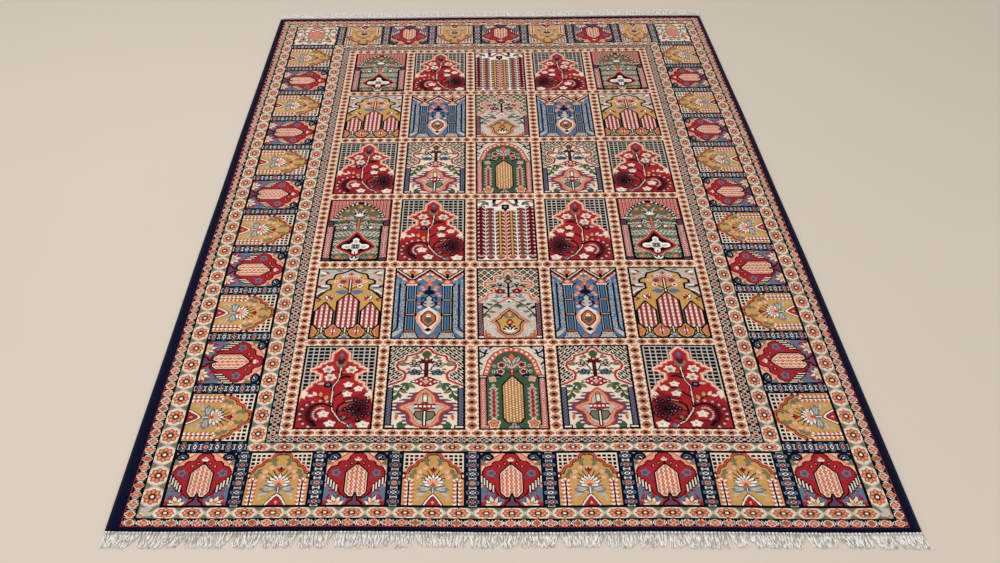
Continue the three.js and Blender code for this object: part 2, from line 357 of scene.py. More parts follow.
# Dark netted sky over a crimson cartouche, with a flowering tree that grows from one corner
def treePanel(c):
    grid(c, c.y > 40, 7.7, 7.1, 1.6, "stone")
    paint(c, (c.y > 40) & hasYarn(c, "ink") & (c.y % 14.2 < 7.1), "navy")
    cartouche = [(0, 156), (5, 151), (12, 143), (12, 129), (19, 128), (20, 124), (26, 123), (27, 117),
                 (32, 117), (33, 114), (38, 113), (38, 108), (31, 107), (30, 104), (24, 102), (24, 91),
                 (28, 90), (29, 87), (34, 86), (35, 79), (39, 77), (40, 73), (45, 69), (45, 60), (48, 56),
                 (49, 50), (53, 46), (53, -6)]
    nest(c, cartouche, [(2.4, "coral"), (1.1, "cream"), (-0.4, "salmon"), (-1.9, "coral"),
                        (-2.8, "crimson")])
    for side in (-1, 1):
        leafFan(c, 45 * side, 69, [(15, 6, -90 - 14 * side), (12, 5, -90 - 44 * side),
                                   (8, 4, -90 - 70 * side)], "cream")
    trunk = [(24, 0), (17, 9), (9, 14), (2, 25), (-3, 34), (-5, 42), (-6, 78), (0, 90), (1, 99), (2, 118)]
    edgedLine(c, trunk, 1.5, "cream", "ink", 1.3)
    edgedLine(c, [(1, 30), (9, 40), (17, 46)], 1.9, "gold", "crimson", 0.4)
    for stem in ([(-5, 46), (-12, 50), (-20, 58), (-30, 61)], [(-4, 40), (-16, 45), (-27, 43)],
                 [(9, 14), (22, 20)], [(0, 32), (12, 33), (22, 37), (34, 31)], [(2, 100), (12, 104)],
                 [(0, 108), (-10, 108)]):
        line(c, stem, 1.7, "ink")
    for stem in ([(-4, 57), (4, 65), (13, 74), (22, 76)], [(1, 92), (10, 99), (15, 96)],
                 [(3, 27), (4, 41), (10, 48), (25, 53)]):
        line(c, stem, 2.7, "ink")
    line(c, [(7, 69), (12, 73)], 1.4, "slate")
    line(c, [(13, 50), (24, 53)], 1.2, "stone")
    for x, y, angle, name in ((-20, 58, 95, "ochre"), (-29, 60, 172, "cream"), (-14, 52, 75, "ochre"),
                              (-26, 60, 120, "cream"), (8, 63, 70, "slate"), (-17, 84, 185, "stone"),
                              (12, 16, 75, "olive"), (24, 1, 100, "slate"), (4, 104, 20, "gold"),
                              (28, 12, 20, "ink")):
        leaf(c, x, y, 10, 4.8, angle, name, "ink" if name == "olive" else None)
    oval(c, -13, 81, 5.6, 5, "ink")
    oval(c, -13, 81.6, 2.6, 2.2, "slate")
    leafFan(c, 1, 115, [(15, 6, 62), (15, 6, 118), (18, 6, 90)], "olive")
    oval(c, 1, 129, 4.6, 8, "maroon")
    leaf(c, 1, 130, 16, 8, 90, "mauve")
    leaf(c, 1, 136, 9, 4, 90, "slate")
    for x, y in ((-15, 112), (16, 111), (-11, 96)):
        bloom(c, x, y, 10.2, 6, ("crimson", "cream", "stone"), 0.9, 0.9)
        bloom(c, x, y - 1, 5.6, 5, (None, "stone", "olive"))
    for x, y, size in ((14, 82, 8.4), (28, 74, 8.4), (14, 64, 8.6), (-14, 27, 10), (-4, 10, 9.6),
                       (38, 8, 11)):
        bloom(c, x, y, size, 5, (None, "cream", "white"), 0.4, 0.8)
        oval(c, x + 0.8, y + 0.4, size * 0.16, size * 0.16, "ochre")
    paint(c, inOval(c, 31, 37, 11, 13) & hasYarn(c, "crimson"), "maroon")
    for place in ((-34, 30, 13, 20), (-16, 8, 22, 8), (30, 38, 20, 25), (2, 20, 7, 12), (20, 54, 12, 5),
                  (8, 98, 9, 5)):
        paint(c, inOval(c, *place) & hasYarn(c, "crimson") & secondKnots(c), "maroon")
    for stem in ([(14, 6), (24, 12), (34, 18), (44, 22)], [(6, 22), (18, 26), (26, 24)],
                 [(-40, 12), (-44, 30), (-38, 44)], [(10, 54), (24, 58), (38, 54), (44, 60)],
                 [(-8, 16), (-20, 14), (-34, 16)], [(30, 62), (40, 68)]):
        line(c, stem, 1.8, "maroon")
    comma = [(-5, 41), (-16, 46), (-26, 44), (-33, 35), (-34, 24), (-30, 14), (-22, 7)]
    for k in range(13):
        a = 2.9 + 0.17 * (k - 4)
        line(c, [(-19 + 12 * np.cos(a), 26 + 14 * np.sin(a)),
                 (-19 + 18.6 * np.cos(a + 0.15), 26 + 22 * np.sin(a + 0.15))], 1.5, "ink")
    line(c, comma, 3.6, "ink")
    line(c, comma[2:6], 1.3, "maroon")
    for k in range(9):
        a = 1.25 + 0.37 * k
        oval(c, -19 + 25 * np.cos(a), 26 + 25 * np.sin(a), 1.9, 1.9, "stone")
        oval(c, -18 + 9 * np.cos(a), 27 + 11 * np.sin(a), 1.6, 1.6, "stone")
    for k in range(10):
        a, reach = 0.2 * np.pi * k + 0.2, 1.0 if k % 2 else 0.72
        x, y = 32 + 13 * reach * np.cos(a), 36 + 19 * reach * np.sin(a)
        line(c, [(32, 36), (x, y)], 1.5, "ink")
        oval(c, x, y, 3.4, 3.6, "ink")
        oval(c, x, y, 1.3, 1.4, "slate" if k % 2 else "mauve")
    for x, y in ((13, 36), (20, 41), (24, 32)):
        oval(c, x, y, 3.2, 3.4, "ink")
        oval(c, x, y, 1.2, 1.3, "slate")


# Willow columns of paired leaves on a pale ground, under a small gable
def willowPanel(c):
    columns = ((9.5, 10, 128, 7.4, "gold", "ochre", "ink"),
               (26, 12, 136, 7.2, "olive", "crimson", "maroon"),
               (42, 12, 140, 7.4, "crimson", "maroon", "ink"))
    for x, low, high, reach, leafYarn, stemYarn, shade in columns:
        off, tall = abs(c.x - x), (c.y > low) & (c.y < high)
        rise = (c.y + 0.75 * off) / 9.4 % 1
        paint(c, tall & (off < reach) & (rise < 0.76), leafYarn)
        paint(c, tall & (off < reach) & (rise < 0.36), shade)
        paint(c, tall & (off < 3.0) & (rise > 0.36), leafYarn)
        paint(c, tall & (off < 1.6), stemYarn)
    line(c, [(0, 5), (0, 127)], 3.4, "salmon")
    line(c, [(0, 5), (0, 127)], 1.4, "coral")
    line(c, [(0, 6), (9, 0)], 3, "coral")
    line(c, [(15, 141), (0, 158)], 5.4, "coral")
    line(c, [(12, 141), (0, 154)], 1.6, "salmon")
    bloom(c, 0, 138, 8.4, 4, ("ink", "ink", "slate", "ochre"), 0.78)
    leaf(c, 0, 126, 9, 5, 90, "ink")
    for x, y, angle, name in ((19, 143, 88, "green"), (28, 142, 60, "green"), (31, 150, 20, "olive"),
                              (42, 141, 135, "olive"), (24, 140, 155, "mauve"), (22, 150, 120, "ink")):
        leaf(c, x, y, 14, 6.5, angle, name)
    bloom(c, 45, 153, 6, 4, (None, "coral", "ochre"))
    for x, name, heart in ((42, "maroon", "ochre"), (26, "crimson", "slate"), (9.5, "gold", "coral")):
        leafFan(c, x, 4, [(11, 6, 90), (11, 5, 55), (11, 5, 125)], name)
        oval(c, x, 12, 4.5, 2.4, heart)


# Ochre vault with three netted cypresses
def cypressPanel(c):
    for spray in ((45, 152, 14, 7, 200, "crimson"), (36, 146, 12, 5, 30, "white"),
                  (24, 155, 12, 5, 190, "olive"), (47, 141, 12, 5, 160, "olive"),
                  (40, 136, 11, 4, 300, "coral"), (33, 138, 9, 4, 20, "salmon"),
                  (48, 130, 10, 6, 250, "salmon"), (49, 118, 8, 6, 200, "maroon"),
                  (30, 113, 17, 4, 0, "mauve"), (32, 117, 12, 3, 8, "white"),
                  (44, 106, 10, 3, 340, "coral")):
        leaf(c, *spray)
    for k, name in enumerate(("white", "mauve", "white", "salmon")):
        line(c, [(30, 109 - 4 * k), (40, 106 - 4 * k), (50, 95 - 4 * k)], 2.2, name)
    vault = [(0, 158), (9, 151), (23, 146), (25, 141), (26, 135), (33, 133), (36, 130), (36, 122),
             (29, 121), (28, 110), (34, 107), (40, 99), (47, 90), (52, 86), (52, -4)]
    nest(c, vault, [(1.0, "ink"), (-2.2, "ochre")])
    nest(c, [(0, 154), (9, 149), (16, 143), (8, 137), (0, 133)], [(0, "stone")])
    oval(c, 0, 130, 13, 9, "coral")
    paint(c, inBlock(c, 0, 20, 116, 138) & ((c.x + c.y) % 5 < 1.7), "salmon")
    for x, y, size, name in ((0, 146, 5, "coral"), (9, 139, 4.4, "white"), (16, 137, 4, "salmon"),
                             (21, 128, 4.4, "white"), (11, 128, 5.6, "mauve"), (14, 118, 6.4, "white")):
        bloom(c, x, y, size, 5, ("gold" if size > 5 else None, name, "crimson"))
    edgedLine(c, [(0, 100), (0, 132)], 2.2, "cream", "ink", 2)
    line(c, [(0, 108), (10, 116)], 1.8, "ink")
    line(c, [(2, 106), (8, 106)], 1.6, "ink")
    leafFan(c, 3, 102, [(17, 7, 10), (13, 6, -12), (14, 5, 30)], "slate")
    leafFan(c, 12, 103, [(10, 3, 0), (8, 2.4, 24)], "sky")
    leafFan(c, 29, 84, [(13, 4, 70), (13, 4, 112)], "white", "ink")
    leafFan(c, 23, 84, [(11, 6, 62)], "crimson")
    line(c, [(44, 82), (40, 86), (46, 90)], 2.2, "ink")
    oval(c, 46, 84, 3, 2, "coral")
    paint(c, (c.y < 62) & (c.x > 16.6) & (c.x < 21), "olive")
    for x in (16.5, 50):
        nest(c, [(x, 33), (x + 7, 27), (x + 13, 17), (x + 9, 6), (x, 2), (x - 9, 6), (x - 13, 17),
                 (x - 7, 27)], [(0.8, "ink"), (-1.2, "ochre"), (-3.4, "coral"), (-6, "salmon")],
             half=False)
        bloom(c, x, 17, 8, 4, (None, "coral", "white", "maroon"), 0.78)
        line(c, [(x, 9), (x, 26)], 1.6, "maroon")
    for x, top, shoulder, wide in ((0, 100, 82, 14.6), (32.5, 79, 60, 12)):
        depth = cypress(c, x, top, shoulder, 24, wide, "crimson")
        u, v = (c.x - x) / 7.2, c.y / 7.6
        paint(c, (depth < 0) & secondKnots(c), "mauve")
        paint(c, (depth < 0) & (abs(u % 1 - 0.5) < 0.24), "salmon")
        paint(c, (depth < -0.6)
              & ((abs(u % 1 - 0.5) * 7.2 / 1.6) ** 2 + (abs(v % 1 - 0.5) * 7.6 / 2.0) ** 2 < 1), "white")
        edgedLine(c, [(x, 24), (x, 9)], 2.2, "cream", "ink", 1.8)
        nest(c, [(x, 12), (x + 10, 1), (x - 10, 1)], [(1.8, "ink"), (0, "stone")], half=False)
        leafFan(c, x, 1, [(8, 3, 60), (8, 3, 120), (9, 3, 90)], "slate")


# Blue hall with two columns, drapes and a pale medallion
def pillarPanel(c):
    speck = np.random.default_rng(3).random(c.x.shape)
    paint(c, speck < 0.30, "slate")
    valley = 130 + 27 * abs(c.x - 25) / 25
    for x, half in ((46, 2.8), (36.6, 3.0)):
        lobe = inBlock(c, x - half, x + half, 14, 128) | inOval(c, x, 127, half, 6)
        paint(c, lobe, "slate")
        paint(c, lobe & (speck > 0.62), "stone")
        paint(c, lobe & (speck < 0.38), "sky")
    line(c, [(41.2, 122), (41.2, 26), (49, 9)], 2.6, "navy")
    line(c, [(33, 122), (33, 16)], 1.4, "navy")
    leafFan(c, 36, 20, [(24, 7, -48)], "stone")
    paint(c, c.y > valley, "cream")
    for k, name in enumerate(("coral", "salmon", "olive", "coral")):
        angle = 90 - 20 * k
        leafFan(c, 25, 134, [(26 - 2 * k, 5.4, angle), (26 - 2 * k, 5.4, 180 - angle)], name)
    for x in (10, 40):
        leaf(c, x, 152, 9, 4, 90, "coral")
    leafFan(c, 25, 134, [(16, 5, 90)], "ink")
    bloom(c, 25, 149, 5, 4, ("maroon", "coral"), 0.78)
    for drop, wide, name in ((9.2, 2.6, "stone"), (5.6, 4.4, "coral"), (4.4, 1.6, "crimson"),
                             (0.6, 3.6, "ink"), (-2.6, 2.4, "cream"), (-5.2, 2, "ink")):
        line(c, [(0, 157 - drop), (25, 130 - drop), (50, 157 - drop)], wide, name)
    for k in range(9):
        x = 3 + 5.6 * k
        oval(c, x, 121 + 27 * abs(x - 25) / 25, 2.2, 1.8, "salmon" if k % 2 else "white")
    block(c, 17.6, 32.4, 18, 120, "ink")
    for x0, x1, name in ((19, 20.4, "stone"), (21.8, 24.2, "sky"), (25.8, 28.2, "sky"), (29.6, 31, "stone")):
        block(c, x0, x1, 18, 119, name)
    for y in (52, 85):
        block(c, 16.8, 33.2, y - 2.8, y + 2.8, "ink")
        block(c, 19, 31, y - 0.9, y + 0.9, "salmon")
    nest(c, [(16, 120), (34, 120), (31, 127), (27, 132), (23, 132), (19, 127)],
         [(1.4, "ink"), (0, "coral")], half=False)
    block(c, 17, 33, 118.6, 121.4, "cream")
    bloom(c, 25, 126, 3.6, 4, (None, "white", "crimson"))
    for side in (-1, 1):
        line(c, [(25 + 8.6 * side, 118), (25 + 12 * side, 123)], 2.2, "ink")
    block(c, 17, 33, 13.6, 20, "ink")
    block(c, 18, 32, 14.6, 19, "gold")
    foot = depthIn(c, [(17, 14), (33, 14), (38, 0), (12, 0)], half=False)
    paint(c, foot < 1.2, "ink")
    fan = (np.arctan2(c.x - 25, c.y + 24) * 16 + 0.12 * c.y) % 1
    paint(c, (foot < -0.4) & (fan < 0.5), "white")
    bloom(c, 5, 134, 6, 3, (None, "ochre", "salmon", "ink"), 0.4)
    bloom(c, 0, 130, 5.4, 4, (None, "salmon", "coral"), 0.78)
    leafFan(c, 0, 114, [(14, 6, 90), (11, 5, 50)], "coral")
    leaf(c, 0, 116, 10, 3, 90, "salmon")
    line(c, [(0, 92), (0, 116)], 4.2, "navy")
    leafFan(c, 0, 98, [(15, 4.6, 58), (14, 4.6, 24), (18, 5, 90)], "navy")
    for x, y, size, name in ((10, 114, 5.6, "coral"), (8, 109, 4, "salmon"), (11.5, 100, 5.4, "coral"),
                             (14.6, 95, 4, "salmon"), (14, 77, 4, "crimson"), (12.6, 69, 4, "cream")):
        bloom(c, x, y, size, 4, (None, name, "salmon"), 0.3)
    nest(c, [(0, 94), (4, 89), (2.6, 83), (9, 79), (6, 72), (0, 68)], [(2.4, "navy"), (0.2, "stone")])
    for y in (76, 87):
        line(c, [(4, y), (9.6, y + 4), (10.4, y - 2)], 2.4, "navy")
    nest(c, [(0, 69), (5, 64), (13, 57), (17, 46), (15, 35), (9, 26), (6, 17), (0, 10)],
         [(0.6, "white"), (-0.8, "cream")])
    paint(c, (distanceTo(c, [(13, 56), (16, 45), (13, 34), (8, 25), (5, 16)]) < 1.8) & (c.x > 4),
          "salmon")
    nest(c, [(0, 62), (5, 58), (10.6, 50), (10.6, 38), (5, 30), (0, 25)],
         [(0, "maroon"), (-1.8, "gold"), (-3.2, "coral"), (-5, "gold")])
    lozenge(c, 0, 40, 6.4, 8, "green")
    bloom(c, 0, 50, 4.4, 3, (None, "white", "salmon"), np.pi / 2)
    lozenge(c, 0, 20, 5.4, 4.4, "ink")
    bloom(c, 7, 6, 5, 3, (None, "coral", "olive"), np.pi / 2)


# Pale garden under a trellis, with a flower tree and an ochre medallion
def gardenPanel(c):
    u, v = c.x / 12.4 + c.y / 14.2, c.x / 12.4 - c.y / 14.2
    away = np.minimum(fromLines(u, 1), fromLines(v, 1))
    paint(c, away < 0.27, "ink")
    paint(c, away < 0.085, "cream")
    cartouche = [(0, 155), (6, 152), (8.5, 149), (9, 142), (20, 141), (22, 139), (22.5, 129), (36, 128),
                 (38.5, 126), (39, 117), (31, 113), (23, 110), (21.5, 104), (30, 102), (34, 99), (36, 91),
                 (44, 86), (52, 79), (52, 0), (0, 0)]
    nest(c, cartouche, [(1.6, "cream"), (0.6, "salmon"), (-0.8, "coral"), (-3.2, "salmon"), (-4.4, "stone")])
    speck = np.random.default_rng(8).random(c.x.shape)
    paint(c, hasYarn(c, "stone") & (speck < 0.16), "white")
    paint(c, hasYarn(c, "stone") & (speck > 0.97) & (c.y < 75), "salmon")
    line(c, [(42, 96), (33, 90), (37, 82)], 2, "coral")
    line(c, [(0, 92), (0, 126)], 4.4, "ink")
    line(c, [(0, 98), (13, 107)], 2, "ink")
    line(c, [(0, 112), (11, 119)], 2, "ink")
    leaf(c, 0, 131, 14, 9, 90, "green")
    leafFan(c, 0, 131, [(12, 4, 40)], "olive")
    bloom(c, 0, 128, 7, 4, ("ink", "maroon", "salmon"))
    leafFan(c, 17, 119, [(15, 5, 4)], "olive")
    leafFan(c, 18, 118, [(11, 3, -20)], "ink")
    for x, y, ring, petal, heart in ((13, 119, "ink", "stone", "ink"),
                                     (13, 105, "maroon", "crimson", "salmon")):
        fivePetals(c, x, y, ring, 9.4, 0.74, petal, 5.4, 3.9, 2.1)
        oval(c, x, y, 1.8, 1.6, heart)
    leafFan(c, 9, 133, [(10, 4, 10), (9, 4, 60)], "slate")
    leafFan(c, 15, 91, [(10, 3.6, 0), (10, 3.6, 50), (9, 3.4, 130)], "slate")
    line(c, [(0, 90), (6, 86), (13, 80)], 2.8, "coral")
    line(c, [(3, 92), (10, 90)], 2, "crimson")
    lozenge(c, 0, 82, 5, 5, "white")
    lozenge(c, 0, 81, 3, 2.6, "navy")
    line(c, [(15, 80), (26, 70), (37, 56)], 2.2, "ink")
    for x, y, angle, name in ((16, 80, 25, "olive"), (17, 77, 250, "olive"), (24, 73, 20, "green"),
                              (26, 70, 170, "olive"), (32, 64, 40, "ink"), (33, 60, 190, "olive"),
                              (35, 57, 300, "green"), (35, 56, 245, "olive"), (20, 76, 215, "green")):
        leaf(c, x, y, 13, 5.4, angle, name)
    medal = [(0, 68), (7, 62), (14, 55), (17, 48), (24, 43), (31, 37), (22, 33), (20, 28), (20, 18),
             (14, 10), (7, 6), (0, 5)]
    nest(c, medal, [(1.4, "salmon"), (0.2, "coral"), (-2.4, "stone"), (-3.4, "ink"), (-5.8, "ochre")])
    oval(c, 0, 50, 9.4, 5.6, "olive")
    leafFan(c, 0, 47, [(10, 6, 90)], "salmon")
    bloom(c, 0, 36, 6.6, 5, ("maroon", "crimson", "salmon"))
    leafFan(c, 0, 16, [(17, 4.8, 90), (16, 4.8, 58), (15, 4.8, 32)], "ink")
    leafFan(c, 0, 14, [(13, 2.6, 90), (14, 2.6, 56), (13, 2.4, 30)], "white")
    twistColumn(c, 9, 79, 79, "mauve", [(2.7, "navy"), (1.2, "salmon")])
    block(c, 38, 50, 0, 9, "maroon")
    block(c, 40, 50, 3.6, 6, "white")
    block(c, 40, 50, 6, 8, "crimson")
    nest(c, [(22, 2), (22, 6), (29, 6), (30, 12), (35, 13), (36, 20), (39, 20), (39, 2)],
         [(0, "coral"), (-2, "gold")], half=False)
    oval(c, 33, 8, 2, 2, "ochre")


# Fretted dark sky over a cream cartouche, with a flower tree and a toothed medallion
def frettedPanel(c):
    u, v = (c.x / 11 + c.y / 12) % 1, (c.x / 11 - c.y / 12) % 1
    fret = (u < 0.13) | (v < 0.13) | ((abs(u - 0.55) < 0.07) & (v > 0.28)
                                      & (v < 0.85)) | ((abs(v - 0.30) < 0.07) & (u > 0.5) & (u < 0.9))
    paint(c, fret, "cream")
    cartouche = [(0, 157), (6, 152), (9, 146), (18, 142), (26, 139), (28, 130), (36, 127), (39, 119),
                 (36, 111), (29, 107), (27, 100), (29, 92), (38, 86), (52, 79), (52, -4)]
    nest(c, cartouche, [(2.4, "cream"), (1.0, "crimson"), (-2.0, "salmon"), (-3.0, "cream")])
    edgedLine(c, [(0, 100), (0, 132)], 3.2, "maroon", "ink")
    leafFan(c, 0, 124, [(13, 4.6, 50), (13, 4.6, 22)], "maroon")
    leaf(c, 0, 134, 16, 11, 90, "green", "olive")
    bloom(c, 0, 132, 6, 4, (None, "maroon", "salmon"), 0.78)
    for x, y, ring, petal in ((15.5, 122, "ink", "stone"), (14.5, 106, "navy", "slate")):
        fivePetals(c, x, y, ring, 9.6, 0.70, petal, 5.6, 3.8, 2.2)
        oval(c, x, y, 1.5, 1.2, petal)
    line(c, [(0, 106), (6, 112), (8, 118)], 1.8, "ink")
    line(c, [(0, 102), (8, 104)], 1.8, "ink")
    leafFan(c, 24, 121, [(14, 7, 5), (10, 4, 40)], "olive")
    leafFan(c, 9, 134, [(11, 5, 12), (10, 4, 55)], "olive")
    for x, y in ((23, 112), (17, 130), (25, 104)):
        oval(c, x, y, 3, 1.8, "gold")
    nest(c, [(0, 98), (6, 96), (12, 92), (19, 88), (12, 84), (6, 80), (0, 78)],
         [(0.8, "maroon"), (-1, "crimson")])
    for x, y in ((6, 92), (6, 84), (11.5, 88), (15.6, 88), (0, 94.6)):
        oval(c, x, y, 1.6, 1.5, "white")
    lozenge(c, 0, 88, 4.4, 5, "stone")
    oval(c, 0, 88, 1.6, 2, "ochre")
    line(c, [(16, 86), (26, 82), (32, 73), (36, 62)], 2, "ink")
    for x, y, angle, name in ((20, 84, 350, "green"), (23, 83, 270, "green"), (22, 84, 225, "olive"),
                              (30, 78, 5, "green"), (31, 76, 240, "ink"), (34, 70, 340, "olive"),
                              (35, 68, 250, "green"), (36, 64, 285, "green"), (34, 71, 200, "olive")):
        leaf(c, x, y, 13, 6.4, angle, name)
    medal = [(0, 74), (6, 68), (11, 61), (13, 54), (13, 50), (21, 47), (31, 41), (30, 37), (22, 33),
             (18, 26), (17, 15), (10, 7), (0, 4)]
    depth = depthIn(c, medal)
    spikes = 10.5 * (abs((c.y * 0.16) % 1 - 0.5) < 0.27)
    paint(c, (depth < np.maximum(5.4, spikes)) & (c.y > 6) & (c.y < 68), "mauve")
    for reach, name in ((2.4, "crimson"), (0.8, "coral"), (-1.0, "salmon"), (-3.0, "coral"),
                        (-4.4, "stone")):
        paint(c, depth < reach, name)
    edgedLine(c, [(0, 46), (0, 62)], 5, "ochre", "ink", 1.2)
    leaf(c, 0, 48, 15, 3.6, 90, "white")
    bloom(c, 0, 41, 15, 6, ("maroon", "crimson", "maroon"), 0.5, 0.56)
    for x in (0, 5.2, 10.6):
        oval(c, x, 41.5, 1.9, 1.9, "white")
    nest(c, [(0, 33), (12, 33), (14, 26), (9, 18), (0, 14)], [(0, "ink"), (-1.6, "olive")])
    edgedLine(c, [(0, 8), (0, 32)], 1.8, "white", "ink", 2)
    twistColumn(c, 8, 76, 77, "slate", [(3, "mauve"), (1.1, "ink")])
    block(c, 36, 50, 0, 8, "ink")
    block(c, 38, 50, 3.4, 6.4, "cream")
    nest(c, [(31, 2), (31, 14), (25, 8), (22, 2)], [(0, "green")], half=False)
    leafFan(c, 32, 2, [(14, 7, 110), (12, 5, 150)], "green")
    leaf(c, 35, 16, 13, 4.4, 95, "coral")


# Green arch with a red beaded band, a golden cypress and flower stalks
def goldenPanel(c):
    paint(c, ((c.x * 0.8 + c.y) // 3) % 2 < 1, "cream")
    for stroke in ([(30, 156), (38, 150), (40, 140), (47, 134)], [(49, 152), (43, 146), (36, 144)],
                   [(49, 128), (44, 122)]):
        line(c, stroke, 3.2, "navy")
    for x, y, size, name in ((44, 152, 4, "slate"), (34, 153, 3.4, "slate"), (46, 141, 4, "slate"),
                             (47, 114, 4, "navy")):
        bloom(c, x, y, size, 5, (None, name, "cream"))
    arch = [(0, 158), (14, 155), (27, 146), (37, 131), (44, 104), (44, 0)]
    depth = nest(c, arch, [(0.8, "cream"), (-0.6, "crimson"), (-1.8, "coral")])
    beads = (np.arctan2(c.y - 98, c.x) * 62 / 10.4) % 1
    paint(c, (abs(beads - 0.5) < 0.2) & (abs(depth + 5.2) < 1.8) & (c.y > 102), "white")
    paint(c, (depth < -8.6) & (c.y > 100), "crimson")
    paint(c, (depth < -9.6) | (c.y < 100), "green")
    block(c, 36, 50, 95, 101, "ink")
    block(c, 38, 49, 96.6, 99.6, "stone")
    block(c, 37, 50, 0, 95, "ink")
    tick = (c.y + 1.6 * abs(c.x - 43.2)) % 4.6 < 2.9
    block(c, 39.4, 47.4, 7, 94, "salmon")
    paint(c, inBlock(c, 39.4, 47.4, 7, 94) & tick, "crimson")
    paint(c, inBlock(c, 41.2, 45.2, 7, 94) & ~tick, "white")
    paint(c, inBlock(c, 36, 50, 1.6, 7) & (c.y % 2.8 < 1.4), "salmon")
    edgedLine(c, [(0, 97), (0, 124)], 2.6, "salmon", "crimson")
    leafFan(c, 0, 112, [(17, 3.6, 58), (18, 3, 28)], "stone")
    leafFan(c, 2, 122, [(16, 4, 46), (15, 5, 76)], "stone", "ink")
    leaf(c, 0, 128, 16, 8, 90, "coral", "crimson")
    line(c, [(0, 104), (12, 110), (24, 106)], 1.6, "ink")
    line(c, [(0, 112), (10, 117), (15, 120)], 1.6, "ink")
    for x, y, size in ((15, 121, 7), (17, 108, 6.4), (27, 108, 4), (26, 119, 4), (10, 134, 4)):
        bloom(c, x, y, size, 5, ("cream", "crimson", "maroon") if size > 5 else (None, "stone", "maroon"),
              0.5)
    leafFan(c, 14, 99, [(13, 8, 8), (10, 5, -24)], "navy")
    leafFan(c, 16, 97, [(10, 2.6, 0)], "slate")
    bloom(c, 29, 93, 6.4, 4, ("stone", "salmon", "coral", "white"), 0.6)
    depth = cypress(c, 0, 99, 81, 13, 14.4, "gold")
    column, bead = inBond(c, 2.3, 2.2)
    paint(c, (depth < -0.6) & (column + 0.7 * bead < 2.5), "ochre")
    paint(c, (depth < -0.6) & (column + bead < 1.2), "white")
    off, swell = abs(c.x - 28), np.sin(c.y * 0.78)
    stalk = (off < (5.6 + 1.8 * swell) * np.clip((86 - c.y) / 12, 0, 1)) & (c.y > 20)
    paint(c, stalk, "stone")
    paint(c, stalk & ((c.y + off) % 4 < 1.2), "olive")
    paint(c, (off < 2.2 + 0.9 * swell) & (c.y > 22) & (c.y < 74), "crimson")
    bloom(c, 28, 11, 9.6, 5, ("cream", "coral", "ochre", "crimson"), np.pi / 2)
    nest(c, [(0, 13), (12, 0)], [(1.4, "ink"), (0, "stone")])
    grid(c, (c.y < 12 - c.x), 4, 4, 1.2, "mauve")


# Border cell: crimson cartouche round a netted cypress
def cartoucheCell(c):
    for rise, name in ((0, "coral"), (5, "cream")):
        line(c, [(12, 101 + rise), (20, 93 + rise), (30, 86 + rise), (38, 78 + rise), (46, 62 + rise)],
             1.9, name)
    line(c, [(40, 66), (44, 56), (50, 50)], 3, "coral")
    leafFan(c, 50, 76, [(15, 9, 120), (12, 6, 165)], "olive")
    oval(c, 38, 91, 11.5, 7.6, "navy")
    line(c, [(31, 90), (35, 94), (41, 93), (44, 88), (39, 87)], 1.5, "slate")
    line(c, [(34, 88), (38, 90)], 1.5, "white")
    lower = [(0, 40), (12, 22), (24, 26), (34, 36), (42, 30), (52, 34), (52, -2), (0, -2)]
    nest(c, lower, [(0, "crimson")])
    leafFan(c, 50, 10, [(32, 16, 112), (28, 16, 150)], "slate")
    leafFan(c, 14, 6, [(17, 11, 72), (19, 9, 30)], "slate")
    leafFan(c, 45, 12, [(14, 4, 130), (12, 3, 165)], "crimson")
    line(c, [(40, 26), (33, 31), (27, 32)], 2.6, "crimson")
    cartouche = [(0, 97), (7, 96), (11, 92), (13, 86), (17, 82), (24, 82), (29, 78), (30, 73), (36, 72),
                 (42, 68), (45, 60), (43, 50), (38, 45), (30, 40), (26, 34), (23, 24), (14, 16), (0, 14)]
    nest(c, cartouche, [(2.0, "ink"), (0, "crimson")])
    for x, y in ((9.5, 78), (18, 73)):
        oval(c, x, y, 3.0, 3.2, "ink")
        oval(c, x, y, 1.3, 1.6, "salmon")
    bloom(c, 32, 60, 9.6, 5, (None, "slate", "mauve"), 0.6, 0.9)
    leafFan(c, 24, 48, [(8, 4, 60), (7, 3, 120)], "mauve")
    for k in range(5):
        x, top = 47.5 - 4.6 * k, 56 - 4.4 * k
        line(c, [(x, top), (x, top - 13)], 4.6, "ink")
        line(c, [(x - 0.2, top - 1), (x - 0.2, top - 12)], 2.2, "cream")
    depth = cypress(c, 0, 77, 60, 18, 16.5, "cream")
    column, bead = inBond(c, 3.6, 3.7)
    paint(c, (depth < -1) & (column + 0.8 * bead < 3.7), "coral")
    paint(c, (depth < -1) & (column + 0.8 * bead < 1.2), "salmon")
    line(c, [(0, 76), (0, 84)], 2.6, "ink")
    leafFan(c, 0, 82, [(7, 3.4, 40), (7, 3.4, 90)], "cream")
    bloom(c, 0, 88, 3.4, 4, (None, "stone", "ochre"))
    nest(c, [(0, 22), (2, 16), (3, 10), (9, 6), (12, 0), (0, 0)], [(2.4, "ink"), (-0.4, "mauve")])
    leafFan(c, 28, 0, [(20, 7, 72), (17, 7, 40), (17, 6, 108), (15, 6, 146), (15, 6, 14)], "cream", "ink")
    leafFan(c, 28, 0, [(11, 4, 56), (11, 4, 92), (10, 4, 125)], "ochre")
    oval(c, 28, 3, 4.4, 3.4, "salmon")


